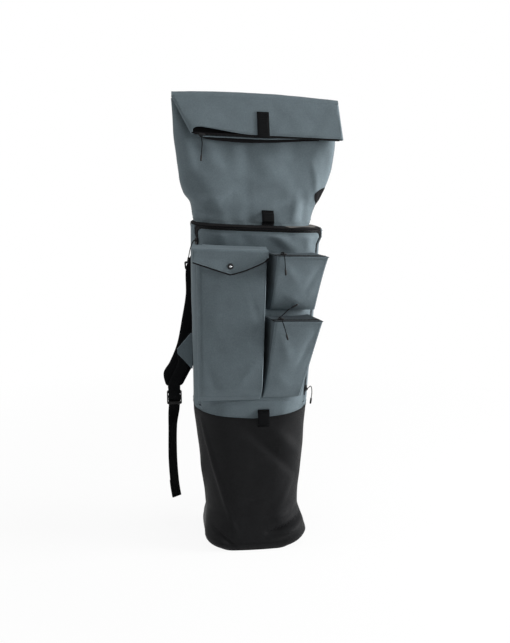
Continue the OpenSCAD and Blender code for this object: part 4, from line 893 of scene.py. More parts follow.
class BACKPACK_OT_panels(Dress, bpy.types.Operator):
    """Grey cloth of the apron, sides and back, with the stitched seams between them"""
    bl_idname = "backpack.panels"
    bl_label = "Panels"

    folds = (((-0.20, 0.62), (-0.17, 0.50), 0.012, 0.0016), ((0.19, 0.60), (0.17, 0.47), 0.014, 0.0018),
             ((-0.19, 0.42), (-0.17, 0.33), 0.012, -0.0016), ((0.18, 0.40), (0.21, 0.33), 0.012, -0.0016),
             ((0.33, 0.55), (0.36, 0.40), 0.02, 0.0016))

    def execute(self, context):
        b = bag(context)
        over, free, lip = ZIP_HALF - SEWN, 0.0007, 0.0006
        low, top = b.seam_z + SEWN, b.zip_top
        leg_foot = b.hinge_z + ZIP_FOOT
        edge = (b.leg(b.hinge_z) - ZIP_HALF) / (b.leg(b.hinge_z) + over)

        def patch(name, cols, rows, u_of, z_of, nodes, calm=0.012):
            def at(c, r):
                z = z_of(c, r)
                u = u_of(c, z)
                still = min(1, min(r, 1 - r) * (z_of(c, 1) - z_of(c, 0)) / calm, c / 0.12, (1 - c) / 0.12)
                soft = crease((u, z), self.folds) + ripple((u, z, 1.7), 0.07, 0.0012)
                return b.skin(u, z, soft * still + b.dip(u, z))
            grid = [[at(c, r) for c in steps(0, 1, cols)] for r in steps(0, 1, rows)]
            cloth(name, grid, b.s.wall, nodes)

        def apron_top(c):
            return leg_foot - free if abs(c) > edge + 0.004 else b.foot_line(c, over) - free
        shares = [-1, -edge - 0.07, -edge - 0.006, -edge - 0.003] + steps(-edge, edge, 80)
        shares += [edge + 0.003, edge + 0.006, edge + 0.07, 1]
        last = len(shares) - 1
        reach = b.leg(low) + over

        def apron_z(c, r):
            c = shares[round(c * last)]
            return mix(b.seam(c * reach) + SEWN, apron_top(c), r)
        patch("apron_cloth", last, 6, lambda c, z: shares[round(c * last)] * (b.leg(z) + over), apron_z,
              ["apron"], calm=10)

        def lip_z(c, r):
            return mix(apron_top(c) - 0.003, b.foot_line(c, over) + 0.0008, r)
        behind = [[b.skin(c * reach, lip_z(c, r), -0.001) for c in steps(-edge, edge, 80)]
                  for r in steps(0, 1, 3)]
        cloth("apron_lip", behind, lip)
        for k, name in SIDES:
            strip = [[b.skin(c * reach, z, -0.0012) for c in sorted((k * (edge + 0.0006), k * (edge + 0.04)))]
                     for z in steps(b.foot_line(edge, over) - 0.004, leg_foot - 0.0002, 4)]
            cloth(f"apron_lip_{name}", strip, lip)
        for k, name in SIDES:
            ends = (lambda z: b.leg(z) + b.tape(z), b.back_edge)
            pick = (lambda c, z, e=ends: mix(e[0](z), e[1](z), c)) if k > 0 else \
                (lambda c, z, e=ends: mix(-e[1](z), -e[0](z), c))
            patch(f"side_cloth_{name}", 44, 90, pick,
                  lambda c, r, p=pick: mix(b.seam(p(c, low)) + SEWN, top, r), [f"side_panel_{name}"])

        def across(c, z):
            return mix(b.back_edge(z) + SEWN, 2 * b.half_girth(z) - b.back_edge(z) - SEWN, c)
        patch("back_cloth", 56, 90, across, lambda c, r: mix(b.seam(across(c, low)) + SEWN, top, r),
              ["back_panel"])
        seams, cords = [], []
        for k in (-1, 1):
            rise = steps(b.seam(k * b.back_edge(low)), top - 0.002, 90)
            for off in (-0.004, 0.004):
                seams.append(b.seam_row([(k * (b.back_edge(z) + off), z) for z in rise]))
            cords.append([b.skin(k * b.back_edge(z), z, 0.0002) for z in rise])
            rise = steps(leg_foot, b.rim_z, 80)
            seams.append(b.seam_row([(k * (b.leg(z) + b.tape(z) + HEM), z) for z in rise], b.dip))
        half = b.half_girth(low)
        ring = steps(b.leg(low) + ZIP_HALF, 2 * half - b.leg(low) - ZIP_HALF, 140)
        for height in (lambda u: b.seam(u) + HEM, lambda u: top - HEM):
            seams.append(b.seam_row([(u * b.half_girth(height(u)) / half, height(u)) for u in ring]))
        low_front = steps(-b.leg(low) - over, b.leg(low) + over, 90)
        seams.append(([b.skin(u, b.seam(u) + 0.0025, THREAD_LIFT) for u in low_front],
                      [b.out(u, low) for u in low_front]))
        sew("panel_stitches", seams)
        bind("seam_piping", cords, 0.0011, "coated_black")
        return {"FINISHED"}


class BACKPACK_OT_collar(Dress, bpy.types.Operator):
    """Collar of the roll top, gathered at its foot, with the yoke that joins it to the rim"""
    bl_idname = "backpack.collar"
    bl_label = "Collar"

    # Folds along the front and in height: from, to, half width, height
    folds = (((-0.155, 0.935), (-0.06, 0.80), 0.016, 0.0034), ((0.15, 0.90), (0.112, 0.84), 0.014, 0.0040),
             ((0.112, 0.84), (0.118, 0.72), 0.006, 0.0035), ((-0.14, 0.80), (-0.085, 0.755), 0.013, -0.0095),
             ((-0.115, 0.745), (-0.045, 0.775), 0.010, 0.0040),
             ((-0.11, 0.735), (-0.07, 0.73), 0.008, -0.0040),
             ((0.075, 0.775), (0.065, 0.72), 0.008, 0.0040), ((0.09, 0.77), (0.085, 0.72), 0.007, -0.0030),
             ((0.10, 0.80), (0.02, 0.745), 0.012, 0.0030), ((-0.02, 0.87), (0.06, 0.78), 0.018, 0.0022),
             ((-0.04, 0.93), (-0.01, 0.83), 0.02, -0.0018), ((-0.14, 0.88), (-0.10, 0.85), 0.010, -0.0024))
    # Fall of the front to its right end, and the tuck at that end, which goes round to the back
    fall = (((0.170, 0.92), (0.150, 0.74), 0.050, -0.020),)
    tuck = (((0.176, 0.808), (0.138, 0.738), 0.013, -0.015),)
    # Gathers round the foot
    gathers, gather_h = 17, 0.0012
    # Dark sheet of painted shade inside the tuck: height, and share of the girth at which it starts
    gusset = ((0.728, 0.243), (0.752, 0.211), (0.767, 0.178), (0.778, 0.172), (0.789, 0.196), (0.795, 0.243))

    def execute(self, context):
        b = bag(context)
        s = b.s
        cols, low, top = 176, s.collar_foot[2], s.fold[2]

        def at(k, z, lift=0.0):
            turn = (k / cols + 0.5) % 1 - 0.5
            width = b.collars[0](z)
            x = turn * 2 * (width + 0.02)
            span = (z - low) / (top - low)
            calm = min(1, span / 0.07) * min(1, (1 - span) / 0.25)
            front = math.cos(math.pi * turn) ** 2
            soft = crease((x, z), self.folds) * front + crease((x, z), self.tuck)
            soft += crease((x, z), self.fall) * max(0, math.cos(2 * math.pi * turn))
            rise = (soft + ripple((x * 1.1, z, 2.2 + abs(turn)), 0.06, 0.003)) * calm
            low_share = max(0, 1 - span / 0.16) * min(1, span / 0.03)
            gather = self.gather_h * math.sin(turn * 2 * math.pi * self.gathers) * low_share
            return b.collar(turn, z, lift + min(rise + gather, b.collars[1](z) * 0.2))
        grid = [[at(k, z) for k in range(cols)] for z in steps(low, top, 66)]
        cloth("collar_cloth", grid, CLOTH, ["collar_front", "collar_back"], closed=True)
        # The dark sheet is painted shade laid over the tuck's cloth
        start = smooth_profile(self.gusset)
        rows = []
        for t in steps(0, 1, 30):
            z, end = mix(self.gusset[0][0], self.gusset[-1][0], t), 0.246 + 0.014 * math.sin(math.pi * t)
            rows.append([at(turn * cols, z, 0.0006) for turn in steps(start(z), end, 14)])
        cloth("tuck_gusset", rows, 0.0005, finishes=["dark_edging"])
        self.yoke(b)
        lines = []
        for turn in (0.25, -0.25):
            rows = steps(low + 0.01, top - 0.004, 60)
            for off in (-1.1, 1.1):
                pts = [at(turn * cols + off, z, THREAD_LIFT) for z in rows]
                lines.append((pts, [Vector((side(turn), side(-off * turn) * 0.6, 0))] * len(pts)))
        ring = [at(k, low + 0.006, THREAD_LIFT) for k in range(cols + 1)]
        lines.append((ring, [(p - Vector((0, 0, p.z))) for p in ring]))
        sew("collar_stitches", lines)
        self.fold(b)
        return {"FINISHED"}

    def yoke(self, b):
        """Dark strip from the rim in to the foot of the collar, with lining at its inner edge."""
        cols, t0 = 120, b.zip_top + SEWN
        half = b.half_girth(b.zip_top)

        def at(k, t):
            turn = (k / cols + 0.5) % 1 - 0.5
            o = b.raw(turn * 2 * half, b.zip_top, -0.0005)
            a, d = b.s.collar_foot[0] / 2, b.s.collar_foot[1] / 2
            r = d - 0.0002
            girth = 2 * a + 2 * d + (math.pi - 4) * r
            c = outline(turn * 2 * girth, a - 0.0005, d - 0.0005, r - 0.0005)
            puff = 0.0009 * math.sin(math.pi * t) * (1 + math.sin(turn * 2 * math.pi * 9))
            z = mix(t0 + 0.002, b.s.collar_foot[2] - SEWN, t) + puff
            return b.sag(mix(o.x, c[0] + b.s.collar_shift, t), mix(o.y, c[1], t), z)
        grid = [[at(k, t) for k in range(cols)] for t in steps(0, 1, 10)]
        cloth("rim_cloth", grid, CLOTH, ["rim_yoke"], "bag", ["dark_edging", "lining"], "black_cloth",
              closed=True, slot_of=lambda i, j: 1 if i > 3 and 0.09 < j / cols < 0.3 else 0)

    def fold(self, b):
        """Cloth over the fold, in place of the fold ridge, from the collar round to the roll flap."""
        s = b.s
        big = s.fold[1] + FOLD_GAP
        ends = s.fold[0] / 2 - 0.001
        turns = steps(math.radians(3), math.pi - s.flap_tilt, 22)

        def at(f, x):
            loose = math.sin(math.pi * (f - turns[0]) / (turns[-1] - turns[0])) ** 2
            crown = s.crown * (1 - (x / (s.fold[0] / 2)) ** 2)
            r = big + (crown + ripple((x, f, 4.1), 0.04, 0.0012)) * loose
            return b.sag(x, b.fold_y + r * math.cos(f), b.fold_z + r * math.sin(f))
        grid = [[at(f, x) for x in steps(ends, -ends, 90)] for f in turns]
        obj = link(shell("fold_cloth", grid, CLOTH), ["coated_grey"])
        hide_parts("fold_ridge")
        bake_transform(obj)


class BACKPACK_OT_roll_flap(Dress, bpy.types.Operator):
    """Roll flap: a flat tube with a hemmed mouth, its zip and its webbing tab"""
    bl_idname = "backpack.roll_flap"
    bl_label = "Roll flap"

    folds = (((-0.12, 0.02), (-0.05, 0.07), 0.016, 0.0010), ((0.06, 0.02), (0.12, 0.075), 0.018, 0.0012),
             ((0.14, 0.03), (0.10, 0.07), 0.012, -0.0010), ((-0.02, 0.075), (0.05, 0.06), 0.012, 0.0008))
    # Painted shadow under the back lip, a dark strip: share of its length, and how far it hangs below the
    # flap
    facing = ((0, 0.006), (0.1, 0.011), (0.35, 0.0135), (0.55, 0.0115), (0.8, 0.006), (1, 0.002))
    # Finishes of its outer and inner face; the inner face is dark as painted shade inside the gaping mouth
    faces = ("coated_grey", "dark_edging")
    # Places across the flap between which the hem of its back lip rises out of sight
    hem_fade = (0.02, 0.11)

    def execute(self, context):
        b = bag(context)
        s = b.s
        drop, mid, h, round_end = s.flap_drop, (b.near + b.far) / 2, s.fold[1] / 2, 1.3

        def ring(d):
            """Front, right end, back and left end of the tube at a drop from the fold."""
            left, right = b.flap_left(d), b.flap_right(d)
            row = [self.face(b, x, mid - h, d) for x in steps(left + h, right - h, 96)]
            row += [b.hang(right - h + h * math.cos(f), mid + h * math.sin(f), d)
                    for f in steps(-round_end, round_end, 8)]
            row += [b.hang(x, mid + h, d) for x in steps(right - h, left + h, 96)]
            row += [b.hang(left + h + h * math.cos(f), mid + h * math.sin(f), d)
                    for f in steps(math.pi - round_end, math.pi + round_end, 8)]
            return row
        grid = [ring(d) for d in steps(drop, 0.0002, 30)]
        cloth("roll_cloth", grid, CLOTH, ["roll_flap"], "roll_flap", self.faces, closed=True, lining=1)
        out = Vector((0, -math.cos(s.flap_tilt), math.sin(s.flap_tilt)))
        d = drop - HEM
        pts = [self.face(b, x, mid - h, d) + out * THREAD_LIFT
               for x in steps(b.flap_left(d) + h, b.flap_right(d) - h, 80)]
        sew("roll_stitches", [(pts, [out])], "roll_flap")
        back = [b.hang(x, mid + h - 0.001, drop + float(np.interp(x, self.hem_fade, [0.0045, -0.0015])))
                for x in steps(b.flap_left(drop) + 0.014, self.hem_fade[1], 60)]
        bind("roll_back_hem", [back], 0.0016, "coated_grey", "roll_flap")
        # A dark strip hung behind the back lip as painted shadow on the collar
        below = smooth_profile(self.facing)
        ends = b.flap_left(drop) + 0.020, 0.130
        facing = [[b.hang(mix(*ends, t), mid + h + 0.0012, drop + below(t) * r) for t in steps(0, 1, 70)]
                  for r in (1, 0.7, 0.4, 0.1)]
        cloth("roll_back_facing", facing, 0.0008, (), "roll_flap", ["dark_edging"])
        self.zip(b, drop + ROLL_ZIP_DROP, mid)
        self.tab(b, out)
        return {"FINISHED"}

    def face(self, b, x, y, d):
        """Front of the flap, with its soft folds and a lip that gapes at its left end."""
        calm = min(1, d / 0.012) * min(1, (b.s.flap_drop - d) / 0.006 + 0.35)
        lift = max(-0.0008, min(0.0022, crease((x, d), self.folds) + ripple((x, d, 5.5), 0.05, 0.0012)))
        tab = 1 - math.exp(-((x - b.s.tab) / 0.018) ** 4)
        from_left = min(1, max(0, (x - b.flap_left(d)) / 0.13))
        gape = b.s.flap_gape * (1 - math.exp(-from_left / 0.05)) * (1 - from_left) ** 2 * (1 + 2 * from_left)
        share = (d / b.s.flap_drop) ** 3
        return b.hang(x, y - lift * calm * tab - 0.2 * gape * share, d - gape * share)

    def zip(self, b, d, mid):
        """Tape across the mouth and the coil that runs along it."""
        ends = (b.flap_left(b.s.flap_drop) + 0.008, b.flap_right(b.s.flap_drop) - 0.008)
        down = Vector((0, -math.sin(b.s.flap_tilt), -math.cos(b.s.flap_tilt)))
        across = steps(b.far, b.near, 6)
        grid = [[b.hang(x, y, d - 0.0006) for y in across] for x in steps(*ends, 80)]
        cloth("roll_zip_tape", grid, TAPE_T, ["roll_zip"], "roll_flap", ["woven_tape"], "zip_tape")
        line = [b.hang(x, mid, d - 0.0003) for x in steps(*ends, 60)]
        teeth("roll_zip_teeth", coil(line, down), "roll_flap")

    def tab(self, b, out):
        """Webbing tab, sewn down at its top, that hangs a little past the free edge."""
        s = b.s
        y = b.far - SEWN - s.webbing_t / 2
        drops = [s.flap_drop * k for k in (0.34, 0.5, 0.7, 0.9)] + [s.flap_drop + 0.006]
        pts = route([b.hang(s.tab, y - k, d) for d, k in zip(drops, (0, 0, 0.0004, 0.0008, 0))], 24)
        way = Vector((1, 0, -math.tan(s.slouch)))
        belt("roll_tab", pts, [way] * 2, s.webbing, s.webbing_t, ["roll_strap"], "roll_flap")
        half, face = 0.010, y - s.webbing_t / 2
        ends = drops[0] + HEM, drops[0] + 0.014
        rows = [([b.hang(s.tab + x, face, d) for x in steps(-half, half, 8)], [out]) for d in ends]
        rows += [([b.hang(x, face, d) for d in steps(*ends, 4)], [out]) for x in (s.tab - half, s.tab + half)]
        sew("roll_tab_stitches", rows, "roll_flap", "black_thread")


def zip_station(b, k, off):
    """Arc length and height along the U of the main zip, k from 0 to 1, off to its outer side."""
    foot, turn = b.hinge_z + ZIP_START, b.zip_z - ZIP_TURN
    top = b.leg(b.zip_z)
    rise, cross, bendy = turn - foot, 2 * (top - ZIP_TURN), ZIP_TURN * 1.5
    total = 2 * rise + cross + 2 * bendy
    run = k * total
    if run > total / 2:
        u, z = zip_station(b, 1 - k, off)
        return -u, z
    if run <= rise:
        z = foot + run
        return -b.leg(z) - off, z
    if run <= rise + bendy:
        f = (run - rise) / bendy * math.pi / 2
        r = ZIP_TURN + off
        return -top + ZIP_TURN - r * math.cos(f), turn + r * math.sin(f)
    return -top + ZIP_TURN + run - rise - bendy, b.zip_z + off


def tape_reach(b, k):
    """Reach of the tape on the bag's side, which fills the square corners of the rim."""
    u, z = zip_station(b, k, 0)
    across, up = abs(u) - b.leg(b.zip_z) + ZIP_TURN, z - b.zip_z + ZIP_TURN
    if up <= 0:
        return b.tape(z)
    sides = (ZIP_TURN + ZIP_HALF) / max(across, 1e-6), (ZIP_TURN + RIM) / max(up, 1e-6)
    return min(sides) * ZIP_TURN - ZIP_TURN


class BACKPACK_OT_main_zip(Dress, bpy.types.Operator):
    """Main zip: two tapes and two rows of teeth that part along the U of the front panel"""
    bl_idname = "backpack.main_zip"
    bl_label = "Main zip"

    def execute(self, context):
        b = bag(context)
        shares = steps(0, 1, 260)
        half_gap, tooth = 0.0004, 0.0018

        def at(k, off, lift):
            u, z = zip_station(b, k, off)
            return b.skin(u, z, lift)
        outs = [b.out(*zip_station(b, k, 0)) for k in shares]
        for body, name, k in (("bag", "main_zip_bag_side", 1), ("front_panel", "main_zip_panel_side", -1)):
            outer = [tape_reach(b, t) - SEWN if k > 0 else b.tape(zip_station(b, t, 0)[1]) for t in shares]
            ends = [(o, half_gap) if k > 0 else (-half_gap, -min(o, TAPE + 0.004)) for o in outer]
            grid = [[at(t, o, -0.0010 - 0.0004 * (abs(o) > TAPE) * (k < 0)) for o in steps(*e, 6)]
                    for t, e in zip(shares, ends)]
            cloth(f"{name}_tape", grid, TAPE_T, [name], body, ["woven_tape"], "zip_tape")
            line = [at(t, k * half_gap, -0.0005) for t in shares]
            teeth(f"{name}_teeth", zip_teeth(line, outs, k * tooth), body)
        wide, high = b.leg(b.zip_z) - ZIP_TURN, b.zip_top - 0.0015
        row = [b.skin(u, high, -0.0009) for u in steps(-wide, wide, 80)]
        sew("main_zip_stitches", [(row, [FRONT])], thread="black_thread")
        return {"FINISHED"}


def fillet_path(a, b, c, d, corners, counts):
    """Points along a wall that leaves a, turns at b and c by their corner sizes, and ends at d."""
    def corner_points(p, q, r, reach):
        s, e = q + (p - q).normalized() * reach, q + (r - q).normalized() * reach
        return [s * (1 - t) ** 2 + q * 2 * t * (1 - t) + e * t * t for t in steps(0, 1, counts[1])]
    first, second = corner_points(a, b, c, corners[0]), corner_points(b, c, d, corners[1])
    path = [a.lerp(first[0], t) for t in steps(0, 1, counts[0])[:-1]] + first
    path += [first[-1].lerp(second[0], t) for t in steps(0, 1, counts[2])[1:-1]]
    return path + second + [second[-1].lerp(d, t) for t in steps(0, 1, counts[0])[1:]]


class BACKPACK_OT_pockets(Dress, bpy.types.Operator):
    """Front panel with the flap pocket and the two bellows pockets"""
    bl_idname = "backpack.pockets"
    bl_label = "Front panel and pockets"

    # Steps along a side, round a corner and across the face of a pocket's wall
    counts = (10, 6, 46)
    # Flap pocket: its top, the hinge and point of its flap, its right end, left flare, depth and rounded foot
    flap_top, hinge_z, point_drop = 0.655, 0.668, 0.051
    right, left_flare, depth, foot_round = 0.011, 0.021, 0.036, 0.042
    # Drop of the flap at its left and right ends
    left_drop, right_drop = 0.028, 0.020
    # Bellows pockets: left end, depth at the mouth, depth at the foot, and the foot and top of each
    bellows_left, bellows_depth, foot_depth = 0.016, 0.058, 0.0035
    upper, lower = (0.540, 0.656), (0.352, 0.524)
    # Folds of the panel above the pockets, and of the pockets' faces in shares of their width and height
    panel_folds = (((0.020, 0.703), (0.073, 0.664), 0.012, 0.0042),
                   ((0.098, 0.700), (0.106, 0.660), 0.011, 0.0032),
                   ((-0.040, 0.690), (-0.020, 0.672), 0.012, -0.0014),
                   ((-0.085, 0.70), (-0.07, 0.67), 0.014, 0.0014))
    flap_folds = (((0.15, 0.55), (0.5, 0.35), 0.06, 0.0012), ((0.9, 0.3), (0.55, 0.12), 0.05, 0.0016),
                  ((0.1, 0.22), (0.3, 0.08), 0.05, -0.0014), ((0.75, 0.7), (0.95, 0.5), 0.04, -0.0010))
    bellows_folds = (((0.1, 0.9), (0.5, 0.5), 0.09, 0.0018), ((0.9, 0.85), (0.7, 0.4), 0.08, -0.0016),
                     ((0.2, 0.3), (0.7, 0.12), 0.09, 0.0016))

    def execute(self, context):
        b = self.b = bag(context)
        self.left = b.raw(-b.pocket_edge(self.flap_top), self.flap_top).x - self.left_flare
        self.panel()
        self.flap_pocket()
        self.pocket_flap()
        self.bellows("upper", *self.upper, (0.009, 0.011), (0.011, 0.019), (0.005, -0.013))
        self.bellows("lower", *self.lower, (0.0, 0.011), (-0.007, 0.018), (0.004, -0.005))
        for name in ("snap_cap", "snap_stud"):
            paint(name, "dark_snap")
        self.snap_dome()
        return {"FINISHED"}

    def snap_dome(self):
        """A bright metal dome on the snap's dark cap, painted highlight of the snap."""
        radius, height, sides, rings = 0.0025, 0.0010, 24, 6
        cap = NODES["snap_cap"]
        corners = [cap.matrix_world @ Vector(corner) for corner in cap.bound_box]
        centre = sum(corners, Vector()) / len(corners)
        foot = min(corner.y for corner in corners) + 0.0003
        points, faces = [], []
        for i in range(rings):
            rise = i / rings * math.pi / 2
            for j in range(sides):
                turn = 2 * math.pi * j / sides
                out = radius * math.cos(rise)
                points.append(Vector((centre.x + out * math.cos(turn), foot - height * math.sin(rise),
                                      centre.z + out * math.sin(turn))))
        points.append(Vector((centre.x, foot - height, centre.z)))
        for j in range(sides):
            k = (j + 1) % sides
            faces += [(i * sides + j, i * sides + k, (i + 1) * sides + k, (i + 1) * sides + j)
                      for i in range(rings - 1)]
            faces.append(((rings - 1) * sides + j, (rings - 1) * sides + k, rings * sides))
        faces.append(tuple(reversed(range(sides))))
        place(join("snap_dome", [(points, faces)]), "pocket_flap", ["polished_snap"])

    def panel(self):
        """Cloth of the panel up to the tape of its zip, creased above the pockets."""
        b = self.b

        def on(u, z, off=0.0):
            calm = min(1, max(0, (b.zip_z - 0.006 - z) / 0.008), max(0, (b.panel_edge(z) - abs(u)) / 0.012))
            return b.skin(u, z, crease((u, z), self.panel_folds) * calm + b.dip(u, z) + off)

        def column(c, z):
            """Arc length of a column of the cloth, drawn in at the covered feet of the zip."""
            reach = b.leg(z) - 0.0004 if z < b.hinge_z + ZIP_START else b.panel_edge(z)
            return side(c) * min(abs(c) * reach, b.panel_edge(z) - (1 - abs(c)) * 0.012)

        def at(c, r):
            reach = b.leg(b.hinge_z)
            foot = b.panel_foot(min(abs(c) * (reach - 0.0004), reach - ZIP_HALF - (1 - abs(c)) * 0.012))
            z = mix(foot, b.panel_top, r)
            return on(column(c, z), z)
        shares = [0, 0.004, 0.01, 0.018, 0.028] + steps(0.04, 0.90, 60) + steps(0.905, 1, 30)
        grid = [[at(c, r) for c in steps(-1, 1, 120)] for r in shares]
        thick = [mix(0.0007, b.s.wall, min(1, r / 0.028)) for r in shares]
        cloth("front_cloth", grid, thick, ["front_panel"], "front_panel")
        lines = []
        for k in (-1, 1):
            rise = steps(b.foot_line(k, -ZIP_HALF) + 0.002, b.zip_z - ZIP_TURN, 70)
            line = [(k * (b.panel_edge(z) - HEM), z) for z in rise]
            lines.append(([on(u, z, THREAD_LIFT) for u, z in line], [b.out(u, z) for u, z in line]))
        wide = b.panel_edge(b.panel_top)
        head = steps(-wide, wide, 80)
        lines.append(([on(u, b.panel_top - HEM, THREAD_LIFT) for u in head],
                      [b.out(u, b.panel_top) for u in head]))
        sew("front_stitches", lines, "front_panel")

    def walls(self, z, l, r, xl, xr, y, corners):
        """One level of a pocket's wall, from the panel round the front and back."""
        b = self.b
        a, d = b.raw(l, z, SEWN), b.raw(r, z, SEWN)
        p, q = Vector((xl, y, z)), Vector((xr, y, z))
        reach = [min(corner, edge.length * 0.45) for corner, edge in zip(corners, (a - p, d - q))]
        return fillet_path(a, p, q, d, reach, self.counts)

    def pocket(self, name, levels, wall_of, swell, proud, finishes, nodes):
        """A pocket wall with soft swells on its face, whose left and right edges may stand proud; the side
        walls may take another finish. Returns its grid and the columns at which its face starts and ends."""
        n = 2 * self.counts[0] + 2 * self.counts[1] + self.counts[2]
        lo, hi = self.counts[0] + self.counts[1] // 2, n - self.counts[0] - self.counts[1] // 2
        grid = []
        for z in levels:
            t = (z - levels[0]) / (levels[-1] - levels[0])
            row = []
            for j, p in enumerate(wall_of(z)):
                c = min(1, max(0, (j - lo) / (hi - lo)))
                turn = mix(*proud, c) * min(1, j / lo, (n - j) / (n - hi)) * math.sin(math.pi * t) ** 0.6
                p = p + Vector((0, -swell(c, t, p) - turn, 0))
                row.append(self.b.sag(*p))
            grid.append(row)
        slot_of = (lambda i, j: 1 if j < lo or j >= hi else 0) if len(finishes) > 1 else None
        cloth(name, grid, CLOTH, nodes, "front_panel", finishes, slot_of=slot_of)
        return grid, lo, hi

    def sew_face(self, name, grid, lo, hi, hem, out):
        """Stitch rows down both edges of a pocket's face and along one row of its grid."""
        lift = FRONT * THREAD_LIFT
        rows = [([Vector(row[j]) + lift for row in grid], [FRONT]) for j in (lo + 2, hi - 2)]
        rows.append(([Vector(p) + lift for p in grid[hem][lo:hi]], [out]))
        sew(name, rows, "front_panel")

    def flap_pocket(self):
        """Box-shaped pocket, rounded in to the panel at its foot."""
        b = self.b
        foot = b.panel_foot(0) + 0.003

        def out(z):
            t = min(1, (z - foot) / self.foot_round)
            return mix(self.foot_depth, self.depth, math.sin(math.pi / 2 * t))

        def wall_of(z):
            return self.walls(z, -b.pocket_edge(z), self.right, self.left - b.lean(z), self.right,
                              -b.depth(z) / 2 - out(z), (0.017, 0.003))

        def swell(c, t, p):
            if not 0 < c < 1:
                return 0
            body = math.sin(math.pi * c) ** 0.7 * math.sin(math.pi * min(1, t * 1.12)) if t < 0.89 else 0
            soft = crease((c, t), self.flap_folds) + ripple(p, 0.06, 0.0014)
            return 0.0030 * body + soft * min(1, max(0, (0.87 - t) / 0.1)) * min(1, t / 0.05)
        levels = steps(foot, foot + self.foot_round, 16) + steps(foot + 0.047, self.flap_top, 56)
        grid, lo, hi = self.pocket("flap_pocket_cloth", levels, wall_of, swell, (-0.008, 0.004),
                                   ["coated_grey"], ["flap_pocket"])
        self.sew_face("flap_pocket_stitches", grid, lo, hi, 5, Vector((0, -0.8, -0.6)))

    def pocket_flap(self):
        """Pointed flap over the pocket, hinged on its straight sewn edge."""
        b = self.b
        hinge_y = -b.depth(self.hinge_z) / 2 - 0.002
        front_y = -b.depth(self.flap_top) / 2 - self.depth - 0.0026
        middle, half = (self.left + self.right) / 2, (self.right - self.left) / 2 + 0.002

        def edge(c):
            fall = self.hinge_z - self.point_drop
            if c < 0:
                return fall + abs(c) * (self.point_drop - self.left_drop)
            return fall + c ** 1.3 * (self.point_drop - self.right_drop) + max(0, c - 0.9) * 0.040

        def at(c, r):
            x, low, top = middle + c * half, edge(c), self.hinge_z - 0.004
            y0, z1 = front_y - CLOTH, self.hinge_z + 0.001
            bow = -0.0010 * math.sin(math.pi * (c + 1) / 2) - ripple((x, r, 7.0), 0.03, 0.0006)
            if r <= 1:
                free = 0.0045 * (1 - r) ** 2 * (1 - math.exp(-(c / 0.3) ** 2))
                return b.sag(x, y0 + bow * r - free, mix(low, top - 0.002, r))
            if r <= 2:
                f = (r - 1) * math.pi / 2
                return b.sag(x, y0 + bow + 0.005 * (1 - math.cos(f)), top - 0.002 + 0.0035 * math.sin(f))
            t = r - 2
            sink = -0.0012 * math.sin(math.pi * t)
            return b.sag(x, mix(y0 + 0.005 + bow * (1 - t), hinge_y, t), mix(top + 0.0015, z1, t) + sink)
        levels = steps(0, 1, 14) + steps(1, 2, 6)[1:] + steps(2, 3, 14)[1:]
        grid = [[at(c, r) for c in steps(-1, 1, 72)] for r in levels]
        # The inner face takes the dark edging finish, painted shade in the gap under the flap
        cloth("pocket_flap_cloth", grid, CLOTH, ["pocket_flap"], "pocket_flap",
              ["coated_grey", "dark_edging"], lining=1)
        lift, end, inset = FRONT * THREAD_LIFT, 0.965, HEM * 1.2
        rows = [[at(c, min(1, inset / (self.hinge_z - 0.006 - edge(c)))) + lift
                 for c in steps(-end, end, 70)]]
        rows += [[at(c, r) + lift for r in steps(0.2, 1, 8)] for c in (-end, end)]
        sew("pocket_flap_stitches", [(row, [FRONT]) for row in rows], "pocket_flap")
        # A dark tube under the lower edge, painted shadow of the flap on the pocket
        line = [at(c, 0) + Vector((0, CLOTH * 0.7, -0.0014)) for c in steps(-1, 1, 90)]
        bind("pocket_flap_binding", [line], 0.0019, "dark_edging", "pocket_flap")
        xs = steps(b.raw(-b.pocket_edge(self.hinge_z), self.hinge_z).x, self.right - 0.030, 50)

        def hood(x, t):
            back = b.raw(b.u_at(x, self.hinge_z), self.hinge_z, 0.001).y
            return b.sag(x, mix(hinge_y + 0.0016, max(back, hinge_y + 0.002), t), self.hinge_z + 0.001)
        grid = [[hood(x, t) for x in xs] for t in steps(0, 1, 6)]
        cloth("hood_cloth", grid, CLOTH, ["pocket_hood"], "front_panel")

    def bellows(self, name, foot, top, lefts, rights, proud):
        """A pocket that is deep at its zipped mouth and closes on the panel at its foot."""
        b = self.b

        def share(z):
            return (z - foot) / (top - foot)

        def out(z):
            return mix(self.foot_depth, self.bellows_depth, max(0, share(z)) ** 0.8)

        def ends(z):
            edge = b.raw(b.pocket_edge(z), z).x
            return self.bellows_left + mix(*lefts, share(z)), edge + mix(*rights, share(z))

        def wall_of(z):
            return self.walls(z, self.bellows_left, b.pocket_edge(z), *ends(z), -b.depth(z) / 2 - out(z),
                              (0.007, 0.007))

        def swell(c, t, p):
            if not 0 < c < 1:
                return 0
            calm = min(1, (1 - t) / 0.06) * min(1, t / 0.08)
            return (0.0035 * math.sin(math.pi * c) * math.sin(math.pi * t) ** 0.8
                    + crease((c, t), self.bellows_folds) + ripple(p, 0.05, 0.0016)) * calm
        levels = steps(foot, top, 54)
        # The side walls take the darker gusset grey, painted shade between the pockets
        grid, lo, hi = self.pocket(f"{name}_pocket_cloth", levels, wall_of, swell, proud,
                                   ["coated_grey", "gusset_cloth"], [f"{name}_pocket"])
        self.sew_face(f"{name}_pocket_stitches", grid, lo, hi, -3, FRONT)
        self.mouth(name, top, *ends(top))

    def mouth(self, name, z, left, right):
        """Zip sheet across a bellows pocket's mouth."""
        b = self.b
        y = -b.depth(z) / 2 - self.bellows_depth
        panel_x, chain = b.raw(b.pocket_edge(z), z).x, y + CHAIN_IN

